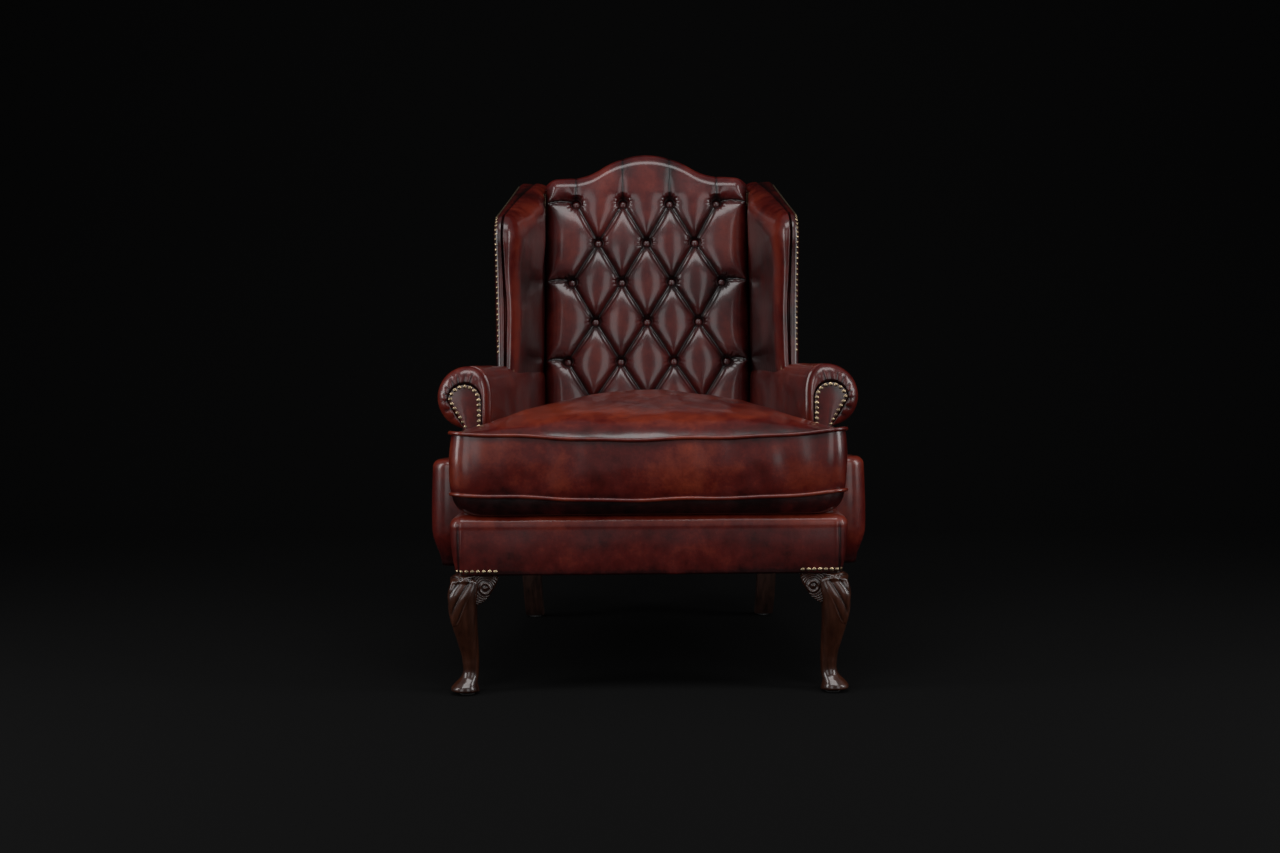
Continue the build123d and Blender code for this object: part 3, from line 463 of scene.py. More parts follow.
def ramp(tree, factor, stops):
    node = add_node(tree, "ValToRGB", {"Fac": factor})
    elements = node.color_ramp.elements
    for place, colour in stops[len(elements):]:
        elements.new(place)
    for element, (place, colour) in zip(elements, stops):
        element.position = place
        element.color = (*colour, 1)
    return node.outputs[0]


def level(tree, value, to_low, to_high, from_low=0.3, from_high=0.7):
    inputs = {"Value": value, "From Min": from_low, "From Max": from_high, "To Min": to_low, "To Max": to_high}
    return add_node(tree, "MapRange", inputs).outputs[0]


def arithmetic(tree, operation, first, *others):
    for other in others:
        first = add_node(tree, "Math", {0: first, 1: other}, operation=operation).outputs[0]
    return first


def weighted(tree, *pairs):
    """The sum of some values, each times its weight."""
    return arithmetic(tree, "ADD", *[arithmetic(tree, "MULTIPLY", *pair) for pair in pairs])


# The rub value as the mesh carries it: wear with painted shade and painted highlights.
def wear_and_light_share(tree):
    return add_node(tree, "Attribute", attribute_name="wear_and_light").outputs["Fac"]


def leather(name, dark, middle, bright, fold_scale):
    """Hand-antiqued hide, grained and glossy: dark in the folds, partly from antiquing and partly painted shade,
    and bright on the high spots, partly wear and partly painted highlight.
    """
    material, tree, skin = new_material(name)
    coords = object_coords(tree)
    cloud = noise_value(tree, coords, 7.0, 4.0)
    mottle = noise_value(tree, coords, 38.0, 5.0, 0.65)
    speck = noise_value(tree, coords, 210.0, 3.0, 0.6)
    uneven = [
        level(tree, noise, -amount, amount) for noise, amount in ((cloud, 0.22), (mottle, 0.13), (speck, 0.05))]
    # The tone follows the rub value, so its painted shade and painted highlights pass into the base colour.
    tone = arithmetic(tree, "ADD", wear_and_light_share(tree), *uneven)
    shade = tuple(0.25 * value for value in dark)
    grain = add_node(tree, "TexVoronoi", {"Vector": coords, "Scale": 620.0}, feature="F1").outputs["Distance"]
    pores = noise_value(tree, coords, 900.0, 2.0)
    folds = noise_value(tree, object_coords(tree, (1, 1, 0.35)), fold_scale, 6.0, 0.62)
    bumped(tree, skin, weighted(tree, (grain, 0.35), (pores, 0.25), (folds, 1.6)), 0.5, 0.0007, {
        "Base Color": ramp(tree, tone, [(0.0, shade), (0.25, dark), (0.58, middle), (0.98, bright)]),
        "Roughness": level(tree, mottle, 0.30, 0.42), "Specular IOR Level": 0.22, "Coat Weight": 0.75,
        "Coat Roughness": 0.17})
    return material


def show_wood(name, dark, light):
    """Stained and polished timber with upright grain, darker where its rub value is low."""
    material, tree, skin = new_material(name)
    coords = object_coords(tree, (1, 1, 0.12))
    grain = noise_value(tree, coords, 120.0, 6.0, 0.7)
    bands = noise_value(tree, coords, 26.0, 3.0)
    streak = ramp(tree, weighted(tree, (grain, 0.6), (bands, 0.5)), [(0.38, dark), (0.72, light)])
    # The colour is multiplied down where the rub value is low.
    depth = level(tree, wear_and_light_share(tree), 0.12, 1.0, 0.0, 0.6)
    colour = add_node(tree, "Mix", {"Factor": 1.0}, data_type="RGBA", blend_type="MULTIPLY")
    feed(tree, colour, {6: streak, 7: depth})
    bumped(tree, skin, grain, 0.25, 0.0004, {
        "Base Color": colour.outputs[2], "Roughness": level(tree, grain, 0.28, 0.42), "Specular IOR Level": 0.25,
        "Coat Weight": 0.85, "Coat Roughness": 0.12})
    return material


def plain_wood(name, dark, light):
    """Timber without polish, for CAD nodes, which carry no rub value."""
    material, tree, skin = new_material(name)
    grain = noise_value(tree, object_coords(tree, (1, 0.2, 0.2)), 90.0, 6.0, 0.7)
    bumped(tree, skin, grain, 0.3, 0.0005, {
        "Base Color": ramp(tree, grain, [(0.35, dark), (0.7, light)]), "Roughness": level(tree, grain, 0.5, 0.75)})
    return material


def metal(name, dark, light, rough_low, rough_high):
    material, tree, skin = new_material(name)
    patina = noise_value(tree, object_coords(tree), 160.0, 4.0, 0.6)
    bumped(tree, skin, patina, 0.3, 0.0003, {
        "Base Color": ramp(tree, patina, [(0.38, dark), (0.62, light)]),
        "Roughness": level(tree, patina, rough_high, rough_low, 0.35, 0.65), "Metallic": 1.0})
    return material


def cloth(name, dark, light, threads):
    """Plain-woven cloth: threads across and along, with slubs."""
    material, tree, skin = new_material(name)
    coords = object_coords(tree)
    thread = {"Vector": coords, "Scale": threads, "Distortion": 1.2}
    weave = arithmetic(tree, "MULTIPLY", *[
        add_node(tree, "TexWave", thread, bands_direction=way).outputs["Fac"] for way in "XY"])
    slub = noise_value(tree, coords, 60.0, 4.0)
    bumped(tree, skin, weave, 0.4, 0.0004, {
        "Base Color": ramp(tree, weighted(tree, (weave, 0.5), (slub, 0.6)), [(0.2, dark), (0.8, light)]),
        "Roughness": 0.9, "Sheen Weight": 0.04})
    return material


slot_materials = {
    "show_wood": show_wood("carved_mahogany", (0.010, 0.003, 0.0015), (0.058, 0.016, 0.007)),
    "post_wood": plain_wood("post_mahogany", (0.012, 0.004, 0.002), (0.052, 0.016, 0.008)),
    "frame_wood": plain_wood("sawn_beech", (0.45, 0.31, 0.18), (0.66, 0.50, 0.33)),
    "glide": cloth("glide_felt", (0.015, 0.015, 0.015), (0.05, 0.05, 0.05), 900.0),
    "spring_steel": metal("spring_wire", (0.25, 0.25, 0.25), (0.5, 0.5, 0.5), 0.3, 0.5),
    "hessian": cloth("jute", (0.30, 0.22, 0.12), (0.62, 0.50, 0.32), 350.0),
    "black_cloth": cloth("dust_cloth", (0.008, 0.008, 0.008), (0.03, 0.03, 0.03), 600.0),
    "deck_cloth": cloth("deck_cloth", (0.05, 0.008, 0.008), (0.13, 0.03, 0.03), 600.0),
    "twine": cloth("linen_twine", (0.4, 0.33, 0.24), (0.66, 0.58, 0.45), 900.0),
    "leather": leather("oxblood_hide", (0.014, 0.001, 0.001), (0.068, 0.0045, 0.003), (0.17, 0.020, 0.008), 55.0),
    "tufted_leather": leather(
        "oxblood_tufted_hide", (0.012, 0.001, 0.001), (0.062, 0.0045, 0.004), (0.15, 0.018, 0.009), 77.0),
    "cushion_leather": leather(
        "oxblood_cushion_hide", (0.016, 0.001, 0.001), (0.075, 0.005, 0.003), (0.20, 0.026, 0.008), 44.0),
    "antique_brass": metal("antique_nail_brass", (0.10, 0.065, 0.04), (0.42, 0.32, 0.20), 0.2, 0.45)}
for part in frame["record"]["subparts"]:
    node = frame["nodes"][part["node"]]
    node.data.materials.clear()
    node.data.materials.append(slot_materials[part["material_slot"]])


# Places on the chair, as in its frame

def up_back(height):
    return (height - rake_start) / math.cos(lean)


def back_points(x, v, w):
    """Points across the raked back, up its face and out of it."""
    y = post_front + v * math.sin(lean) - w * math.cos(lean)
    return join(x, y, rake_start + v * math.cos(lean) + w * math.sin(lean))


def crest_at(x):
    """The camelback's height up the back face."""
    peak, shoulder = up_back(crest_height), up_back(shoulder_height)
    x = np.abs(x)
    radius = (hump_half ** 2 + hump_drop ** 2) / (2 * hump_drop)
    sweep = shoulder_half - hump_half
    drop = peak - shoulder - hump_drop
    sweep_radius = (sweep ** 2 + drop ** 2) / (2 * drop)
    hump = peak - radius + np.sqrt(np.maximum(radius ** 2 - x ** 2, 0))
    flare = shoulder + sweep_radius - np.sqrt(np.maximum(sweep_radius ** 2 - (shoulder_half - x) ** 2, 0))
    return np.where(x < hump_half, hump, np.where(x < shoulder_half, flare, shoulder))


def arm_inner(y):
    return np.interp(y, (arm_front, arm_bend), (arm_inner_front, arm_inner_rear))


def arm_neck(y):
    return np.interp(y, (arm_front, arm_end), (neck_front, neck_rear))


def wing_outer(y):
    return np.interp(y, (wing_cheek[0], wing_peak[0]), (wing_outer_front, wing_outer_rear))


# Tufted back

def tuft_row(row):
    shares = (-1, 0, 1) if row % 2 else (-1.5, -0.5, 0.5, 1.5)
    spread = tuft_spread + row * tuft_spread_step
    return [(share * spread, up_back(tuft_top - row * tuft_pitch)) for share in shares]


tufts = [tuft_row(row) for row in range(tuft_rows)]
tuft_places = [place for row in tufts for place in row]


def pleat_lines():
    """Every pleat: its two ends, its floor at each end, the rise between, and how far its lip shows."""
    side = arm_inner_rear
    pleat_rise = pleat_crest - pleat_foot
    lines = []
    for row in range(tuft_rows - 1):
        here, below = tufts[row], tufts[row + 1]
        wide, narrow = (below, here) if row % 2 else (here, below)
        for i, point in enumerate(narrow):
            for partner in wide[i:i + 2]:
                upper, lower = (point, partner) if row % 2 else (partner, point)
                lines.append((upper, lower, pleat_foot, pleat_foot, pleat_rise, 1))
    for row in range(0, tuft_rows, 2):
        for x, v in (tufts[row][0], tufts[row][-1]):
            shares = np.linspace(0, 1, 5)
            ends = list(zip(
                mix(x, math.copysign(side, x), shares), v + pleat_arch * np.sin(math.pi * shares ** 0.8),
                pleat_foot + pleat_rise * np.sin(math.pi / 2 * shares) ** 0.6))
            lines += [(a[:2], b[:2], a[2], b[2], 0, 0.7) for a, b in zip(ends, ends[1:])]
    for x, v in tufts[0]:
        rise = crest_at(x) + crest_cover - v
        ends = [(0, pleat_foot), (0.2, 60), (0.5, 64.3), (1, 65.4)]
        for (start, low_floor), (end, high_floor) in zip(ends, ends[1:]):
            lines.append(((x, v + start * rise), (x, v + end * rise), low_floor, high_floor, 0, 0))
    for x, v in tufts[-1]:
        lines.append(((x, v), (x, v - 4 * tuft_pitch), pleat_foot, pleat_crest, 0, 0))
    for x in (-side, side):
        lines.append(((x, -2 * tuft_pitch), (x, crest_at(side) + 60), pleat_edge, pleat_edge, 0, 0))
    return lines


def tufted_height(x, v):
    """The face of the tufting above the back, and its rub value: painted shade in the creases, folds and button
    pits and a painted highlight on the pillow tops.
    """
    place = np.stack([x, v], axis=-1)[..., None, :]
    first, last, foot, head, rise, lip = (np.array(column, float) for column in zip(*pleat_lines()))
    run = last - first
    along = np.clip(((place - first) * run).sum(axis=-1) / (run ** 2).sum(axis=-1), 0, 1)
    offset = place - (first + along[..., None] * run)
    gap = np.sqrt((offset ** 2).sum(axis=-1))
    floors = foot + (head - foot) * along + rise * np.sin(math.pi * along) ** 0.6
    weight = 1 / (gap ** 2 + 8) ** 2
    floor_here = (weight * floors).sum(axis=-1) / weight.sum(axis=-1)
    reach = ((gap + 0.4) ** -4.0).sum(axis=-1) ** -0.25
    profile = (1 - (1 - np.clip(reach / pillow_reach, 0, 1)) ** 2) ** 0.5
    height = mix(floor_here, pillow_top, profile)
    lip_place = 2.5 + 4.5 * np.sin(math.pi * along) ** 0.7
    fold = (offset[..., 1] < 0) * lip * bell(gap - lip_place, 1.5)
    fold = (fold * smoothstep(0.02, 0.2, along) * smoothstep(1, 0.75, along)).max(axis=-1)
    height -= fold_depth * fold
    to_button = place - np.array(tuft_places)
    distance = np.sqrt((to_button ** 2).sum(axis=-1))
    nearest = distance.argmin(axis=-1)
    near = distance.min(axis=-1)
    chosen = np.take_along_axis(to_button, nearest[..., None, None], axis=-2)[..., 0, :]
    turn = np.arctan2(chosen[..., 1], chosen[..., 0])
    height += gather_depth * np.cos(13 * turn + nearest) * bell(near - 15, 6)
    pit = pleat_foot + (pillow_top - pleat_foot + 1) * np.clip((near - pit_radius) / pit_run, 0, 1) ** 0.5
    height = np.where(near > pit_radius + pit_run, height, np.minimum(height, pit))
    crease = bell(gap.min(axis=-1), crease_half)
    # Painted shade in the creases, lips and button pits; painted highlight on the domed pillow tops.
    return height, 0.28 + 0.4 * profile ** 2 - 0.4 * crease - 0.1 * fold - 0.45 * bell(near, 12.5)


def make_tufted_back():
    cols, rows = 268, 400
    side = arm_inner_rear - 0.3
    xs = np.linspace(-side, side, cols)
    start = crest_at(xs) - crest_roll
    v = mix(up_back(deck_top + 1), start, np.linspace(0, 1, rows)[:, None])
    x = np.broadcast_to(xs, v.shape)
    height, wear_and_light = tufted_height(x, v)
    height += 1.3 * lumps(np.stack([x, v, 0 * v], axis=-1), 150, 3)
    base = pillow_top - 2
    drop = base - height[-1]
    rim = np.sqrt(np.clip((side - np.abs(xs)) / 16, 0, 1))
    grid, wear_and_light_rows = list(back_points(x, v, height)), list(wear_and_light)
    for angle in quarter_turn(16):
        reach = crest_roll - drop * mix(1, 0.55, angle / (math.pi / 2))
        w = base - crest_roll + reach * math.cos(angle)
        grid.append(back_points(xs, start + reach * math.sin(angle), w))
        # Painted highlight over the crest roll.
        wear_and_light_rows.append(mix(wear_and_light[-1], 0.75, 0.5 * angle))
    for step in np.linspace(0, 1, 12)[1:]:
        fall = drop * mix(0.55, 0.1, step) + 5 * step ** 4
        grid.append(back_points(xs, start + crest_roll - fall, mix(base - crest_roll, -post_depth, step)))
        # Painted shade behind the crest, darkest at the side edges.
        wear_and_light_rows.append(0.65 * rim)
    hidden = back_points(0, 300, 4)
    make_cover("tufted_back", "back_pad", np.array(grid), np.array(wear_and_light_rows), hidden, slot="tufted_leather")


def make_buttons():
    rings, sides = 9, 28
    turn = np.linspace(0, math.tau, sides, endpoint=False)
    profile = [(0.8 * button_radius, -0.5), (button_radius, 1.2), (0.99 * button_radius, button_wall)]
    for a in np.linspace(0.2, 1.45, rings - 3):
        profile.append((button_radius * math.cos(a), mix(button_wall, button_height, math.sin(a))))
    points, faces, wear_and_light = [], [], []
    for x, v in tuft_places:
        start = len(points)
        pucker = 1 + 0.012 * np.cos(9 * turn + x)
        for ring, (radius, w) in enumerate(profile):
            reach = radius * pucker
            points += list(back_points(x + reach * np.cos(turn), v + reach * np.sin(turn), pleat_foot + w))
            # Painted shade at each button's foot, rising to a painted highlight on its dome.
            wear_and_light += [0.12 + 0.5 * ring / rings] * sides
        faces += [[start + i for i in face] for face in grid_faces(rings, sides, True)]
        last = len(points) - sides
        faces += [[last + i, last + (i + 1) % sides, len(points)] for i in range(sides)]
        faces.append([start + i for i in range(sides)])
        points.append(back_points(x, v, pleat_foot + button_height + 0.1))
        wear_and_light.append(0.62)
    dress(make_piece("leather_buttons", points, faces, wear_and_light), "tufted_leather", "back_buttons")


# Wings

def wing_front(back, down):
    """The wing's front and top edge, as (y, z) with its outward normals, from the arm to the crest."""
    start, waist, cheek, brow, peak = (
        (y + back, z - down) for y, z in (wing_low, wing_waist, wing_cheek, wing_brow, wing_peak))
    rise, angle = arc_through(start, waist, cheek)
    over, angle = arc_from(rise[-1], angle, brow)
    top, angle = arc_from(over[-1], angle, peak)
    foot = np.array([[rise[0, 0], wing_foot - down]])
    path = resample(np.concatenate([foot, rise, over[1:], top[1:]]), edge_points)
    return path, left_of(path)


def wing_roots(foot, w):
    """Where the wing meets the back, for each place along its front edge, as (y, z)."""
    heights = np.interp(np.linspace(0, 1, edge_points), root_shares, (foot, *root_heights))
    return back_points(0, up_back(heights), w)[:, 1:]


def arm_face(y, z):
    """The inner side of the arm at a height, where it rolls over its top."""
    middle, radius = np.interp(y, roll_places, roll_middles), np.interp(y, roll_places, roll_radii)
    rise = np.clip((z - arm_top + radius) / radius, 0, 0.97)
    return middle - (middle - arm_inner(y)) * (1 - rise ** roll_power) ** (1 / roll_power)


def wing_face(y, z, path, tips, sizes):
    """The wing's inner side: flat by the back, landing on the arm, and rolled over its front edge."""
    out = -(y - post_front) * math.cos(lean) + (z - rake_start) * math.sin(lean)
    flat = arm_inner(y) + 0.4 + 4 * bell(out - 30, 14)
    flat = flat - 9 * smoothstep(800, 880, z) * smoothstep(60, 180, out)
    landing = wing_foot + 4
    landed = np.clip((z - landing) / 100, 0, 1)
    flat = mix(arm_face(y, landing) + 1.5, flat, 1 - (1 - landed) ** 2.2)
    gap = np.hypot(y[..., None] - path[:, 0], z[..., None] - path[:, 1])
    nearest = gap.argmin(axis=-1)
    turn = 1 - np.clip(gap.min(axis=-1) / sizes[nearest], 0, 1)
    return flat + (tips[nearest] - flat) * (1 - np.sqrt(1 - turn ** 2)), turn


def make_wing(side, name):
    path, normal = wing_front(0, 0)
    roots = wing_roots(wing_foot, 10)
    tips = hermite(tip_levels, tip_places, path[:, 1])
    sizes = hermite(tip_levels, tip_sizes, path[:, 1])
    fade = smoothstep(*groove_fade, path[:, 1])
    depths = groove_depth * mix(1, 0.12, fade)
    groove_half = mix(5, 2, fade)
    share = np.linspace(0, 1, 46)[:, None] ** 0.8
    flat = mix(roots[:, None], (path - sizes[:, None] * normal)[:, None], share)
    turn = np.linspace(0, 1, 40)[1:, None] ** 1.4
    fold = path[:, None] - sizes[:, None, None] * (1 - turn) * normal[:, None]
    place = np.concatenate([flat, fold], axis=1)
    face, rolled = wing_face(place[..., 0], place[..., 1], path, tips, sizes)
    face += 0.7 * np.cos(place[..., 0] / 3.1) * np.exp(-(place[..., 1] - wing_foot) / 16)
    # Painted highlight along the middle of the roll and painted shade by the arm.
    by_arm = np.exp(-(path[:, 1] - wing_foot) / 25)[:, None]
    shade = 0.34 + 0.16 * smoothstep(0, 0.5, rolled) + 0.22 * np.sin(math.pi * rolled) - 0.1 * by_arm
    inner = join(face, place[..., 0], place[..., 1])

    # The edge: into the groove, out of it, round the outer corner and back. Each step has its place
    # across the chair, how far it lies inside the edge line, and its rub value, dark down in the groove as painted
    # shade.
    outer = wing_outer(path[:, 0])
    corner = outer - wing_edge_radius
    steps = []
    for a in quarter_turn(9):
        tone = mix(0.5, 0.02, a / (math.pi / 2))
        steps.append((tips + groove_half * math.sin(a), depths * (1 - math.cos(a)), tone))
    for t in np.linspace(0, 1, 14)[1:]:
        bend = 3 * (1 - t) * t ** 2 + t ** 3
        steps.append((mix(tips + groove_half, corner, t), depths * (1 - bend) ** 2, 0.08 + 0.3 * bend))
    for a in quarter_turn(10):
        x = corner + wing_edge_radius * math.sin(a)
        steps.append((x, wing_edge_radius * (1 - math.cos(a)), 0.4 - 0.15 * math.sin(a)))
    steps += [(outer - 1, 22, 0.2), (outer - 8, 34, 0.2)]
    edge = [np.c_[x, path - np.reshape(inset, (-1, 1)) * normal] for x, inset, tone in steps]
    grid = np.concatenate([inner, np.stack(edge, axis=1)], axis=1)
    tones = np.broadcast_to([tone for x, inset, tone in steps], (edge_points, len(steps)))
    soft = np.arange(grid.shape[1]) < inner.shape[1]
    grid = swell(grid, 0.9 * soft * lumps(grid, 130, 11 + (side > 0)))
    wear_and_light = np.concatenate([shade, tones], axis=1)
    make_cover("wing_cover_" + name, "wing_pad_" + name, grid, wear_and_light, (290, 180, 800), side)
    welt = np.c_[tips + groove_half + 2.5, path - (depths - 2.5)[:, None] * normal]
    welt = welt[3:][path[3:, 1] < welt_top]
    welt = flip(welt) if side < 0 else welt
    dress(tube_piece("wing_welt_" + name, welt, welt_radius, 10, 0.45), "leather")


def make_outside_wing(side, name):
    cols = 40
    path = wing_front(wing_step, wing_drop)[0]
    rear = wing_roots(wing_foot - wing_drop, -post_depth - 1)
    flat = mix(path[:, None], rear[:, None], np.linspace(0, 1, cols)[:, None])
    spread = from_ends(cols) / (cols - 1) * np.linalg.norm(path - rear, axis=1)[:, None]
    x = wing_outer(flat[..., 0]) - 0.2 + 2.5 * smoothstep(14, 70, spread) - 5 * tuck(spread, 4)
    grid = join(x, flat[..., 0], flat[..., 1])
    # Painted shade along the tucked edges.
    wear_and_light = 0.28 + 0.3 * smoothstep(0, 40, spread)
    make_cover("outside_wing_cover_" + name, "outside_wing_" + name, grid, wear_and_light, (300, 200, 800), side)


# Arms. The sections of the arm and of its facing match point for point, in four stretches.
rise_count, head_count, under_count, fall_count = 14, 44, 16, 12
neck_index = rise_count + head_count + under_count


def upright(x, start, end, count):
    return np.stack([np.full(count, x), np.linspace(start, end, count)], axis=-1)


def close_section(inner, neck, shoulder, head, under):
    """A section as (x, z): up the inner side to its shoulder, over the head, under it and down."""
    return np.concatenate([
        upright(inner, rail_top, shoulder, rise_count), head, under,
        upright(neck, under[-1, 1], rail_top, fall_count + 1)[1:]])


def arm_outline(y):
    """The arm's section at a place along it."""
    middle = np.interp(y, roll_places, roll_middles)
    radius = np.interp(y, roll_places, roll_radii)
    inner, neck = arm_inner(y), arm_neck(y)
    centre_z = arm_top - radius
    turn = np.linspace(math.pi, 0, head_count + 1)[1:]
    power = 2 / roll_power
    left = np.cos(turn) < 0
    x = np.where(left, middle - (middle - inner) * np.abs(np.cos(turn)) ** power, middle + radius * np.cos(turn))
    z = centre_z + radius * np.where(left, np.abs(np.sin(turn)) ** power, np.sin(turn))
    reach = np.clip((neck - middle) / radius, -1, 1)
    turn = np.linspace(0, -math.acos(reach), under_count + 1)[1:]
    under = np.stack([middle + radius * np.cos(turn), centre_z + radius * np.sin(turn)], axis=-1)
    return close_section(inner, neck, centre_z, np.stack([x, z], axis=-1), under)


def facing_outline(inset=0):
    """The scroll facing's outline, drawn in by the inset."""
    inner, outer = facing_inner + inset, facing_neck - inset
    centre_x, radius = facing_inner + facing_head, facing_head - inset
    turn = np.linspace(math.pi, 0, head_count + 1)[1:]
    head = np.stack([centre_x + radius * np.cos(turn), facing_head_height + radius * np.sin(turn)], axis=-1)
    share = np.linspace(0, 1, under_count + 1)[1:, None]
    under = mix(head[-1], np.array([outer, facing_waist]), share)
    return close_section(inner, outer, facing_head_height, head, under)


def make_arm(side, name):
    stations = np.r_[np.linspace(arm_front + roll_edge, 120, 44), np.linspace(130, 312, 22)]
    body = [stand_up(arm_outline(y), y) for y in stations]
    outer = arm_outline(arm_front)
    inner = facing_outline(-1.5)
    index = np.arange(len(outer))
    window = smoothstep(22, 32, index) * smoothstep(76, 66, index)
    pleat = np.clip(np.cos(index * 1.42), 0, 1) ** 3 * window
    rings, wear_and_light_rows = [stand_up(inner, arm_front + 3)], [np.full(len(outer), 0.05)]
    for angle in quarter_turn(20):
        share = 1 - math.sin(angle)
        y = arm_front + roll_edge - (roll_edge + 3.5) * math.cos(angle)
        shown = pleat * smoothstep(0.12, 0.6, share)
        rings.append(stand_up(mix(outer, inner, share), y + 2.2 * shown))
        # Painted shade in the pleats round the scroll and where it meets the facing.
        wear_and_light_rows.append(0.62 - 0.35 * shown - 0.3 * smoothstep(0.7, 1, share))
    grid = np.array(rings + body)
    along = np.linspace(0, 1, len(body))[:, None]
    # Painted highlight along the top of the roll, painted shade under it and at its rear end.
    body_wear_and_light = 0.55 + 0.25 * bell(index - 34, 14) * (1 - 0.4 * along) - 0.3 * smoothstep(0.86, 1, along)
    wear_and_light = np.concatenate([wear_and_light_rows, body_wear_and_light - 0.35 * smoothstep(72, 80, index)])
    grid = swell(grid, 1.1 * smoothstep(430, 520, grid[..., 2]) * lumps(grid, 120, 21 + (side > 0)))
    make_cover("arm_cover_" + name, "arm_pad_" + name, grid, wear_and_light, side=side)


def make_facing(side, name):
    outline = facing_outline()
    centre = (facing_inner + facing_neck) / 2, facing_inner + facing_head
    spine_x = np.interp(outline[:, 1], (rail_top, facing_head_height), centre)
    spine = np.stack([spine_x, np.minimum(outline[:, 1], facing_head_height)], axis=-1)
    # Painted shade at the facing's rim under the roll, lighter towards its middle.
    rings, tones = [stand_up(outline, arm_front + 1)], [0.1]
    edge_share = 0.06
    for share in (0.0, edge_share, 0.2, 0.4, 0.6, 0.75, 0.86):
        y = facing_front + 1.2 * (1 - min(1, share / edge_share)) - 1.6 * math.sin(share * math.pi / 2)
        rings.append(stand_up(mix(outline, spine, share), y))
        tones.append(0.3 + 0.3 * share)
    wear_and_light = np.array(tones)[:, None]
    make_cover("scroll_facing_" + name, "arm_facing_" + name, np.array(rings), wear_and_light, side=side)


def make_outside_arm(side, name):
    rows, cols = 70, 26
    ys = np.linspace(arm_front + 4, post_rear + 12, rows)
    tops = np.array([arm_outline(min(y, arm_end))[neck_index, 1] + 6 for y in ys])
    z = mix(rail_top + 1, tops[:, None], np.linspace(0, 1, cols))
    spread = np.minimum(from_ends(rows)[:, None] * (ys[1] - ys[0]), from_ends(cols) * 8.0)
    x = arm_neck(ys)[:, None] + panel_thickness - 0.5 + 3.5 * smoothstep(0, 60, spread) - 4 * tuck(spread, 5)
    # Painted shade along the tucked edges.
    wear_and_light = 0.3 + 0.28 * smoothstep(0, 40, spread)
    grid = join(x, ys[:, None], z)
    make_cover("outside_arm_cover_" + name, "outside_arm_" + name, grid, wear_and_light, (330, 0, 400), side)


# Lower side panels and front border

def make_side_panel(side, name):
    plan = [(side_inner_rear, post_rear), (side_rear, post_rear), (side_front, facing_front + side_nose)]
    for a in quarter_turn(14):
        plan.append((side_front - side_nose * (1 - math.cos(a)), facing_front + side_nose * (1 - math.sin(a))))
    path = resample(np.array(plan + [(side_inner_front, facing_front)], float), 170)
    rise, turn = np.linspace(0, 1, 30), quarter_turn(12)
    foot_inset = side_sweep * (1 - smoothstep(0, 0.36, rise)) - 2.5 * np.sin(math.pi * rise)
    levels = np.r_[
        mix(leg_height, side_top - side_lip, rise), side_top - side_lip * (1 - np.sin(turn)),
        np.full(3, side_top - 0.5)]
    insets = np.r_[foot_inset, side_lip * (1 - np.cos(turn)), 24, 36, 50]
    x, y = path.T
    fade = np.where(y > 0, np.clip((x - side_inner_rear) / 20, 0, 1), np.clip((x - side_inner_front) / 12, 0, 1))
    rows = []
    for z, inset in zip(levels, insets):
        move = np.minimum(inset, np.maximum(x - side_inner_rear, 1)) * np.maximum(fade, 0.15)
        rows.append(at_height(path - left_of(path) * move[:, None], z))
    grid = np.array(rows)
    grid = swell(grid, 0.8 * lumps(grid, 140, 31))
    height = (grid[..., 2] - leg_height) / (side_top - leg_height)
    # Painted shade towards the floor and a painted highlight on the rounded top.
    wear_and_light = 0.3 + 0.35 * smoothstep(0, 0.3, height) + 0.15 * smoothstep(0.75, 1, height)
    make_cover("side_panel_cover_" + name, "side_panel_" + name, grid, wear_and_light, (335, 0, 320), side)


def border_path(half, inset):
    front, side = front_face + inset, half - inset
    radius = border_corner - inset / 2
    turn = np.linspace(0, math.pi / 2, 12)
    left = [(-side + radius * (1 - math.cos(a)), front + radius * (1 - math.sin(a))) for a in turn]
    right = [(-x, y) for x, y in left[::-1]]
    return resample(np.array([(-side, border_back)] + left + right + [(side, border_back)], float), 360)


def make_border():
    rise, turn, extras = np.linspace(0, 1, 26), quarter_turn(16), (12, 30, 55, 80)
    foot = deck_top - border_lip
    rows = []
    for a in rise:
        path = border_path(mix(border_bottom_half, border_half, a), -1.8 * math.sin(math.pi * a))
        rows.append(at_height(path, mix(leg_height, foot, a)))
    for a in turn:
        path = border_path(border_half, border_lip * (1 - math.cos(a)) - 1.5 * math.sin(2 * a))
        rows.append(at_height(path, foot + border_lip * math.sin(a)))
    for extra in extras:
        path = border_path(border_half, border_lip)
        x = path[:, 0] * (1 - 0.2 * extra / border_half)
        rows.append(join(x, np.minimum(path[:, 1] + extra, border_back), deck_top - 0.4))
    grid = np.array(rows)
    line = np.abs(np.abs(grid[..., 0]) - (border_half - 17))
    front = (grid[..., 1] < front_face + 14) * smoothstep(leg_height, leg_height + 12, grid[..., 2])
    front = front * smoothstep(deck_top - 4, deck_top - 26, grid[..., 2])
    pleat = bell(line, 1.8) * front
    grid[..., 1] += 2.6 * pleat - 0.9 * bell(line - 4.5, 2.2) * front
    grid = swell(grid, 0.9 * lumps(grid, 160, 41))
    height = (grid[..., 2] - leg_height) / (deck_top - leg_height)
    # Painted highlight on the top lip, painted shade in the corner pleats and at the foot.
    wear_and_light = 0.42 + 0.12 * np.sin(math.pi * height) + 0.35 * smoothstep(0.7, 0.95, height) - 0.4 * pleat
    wear_and_light -= 0.2 * smoothstep(0.12, 0, height)
    make_cover("border_cover", "front_border", grid, wear_and_light, (0, border_back, 250))


# Loose cushion

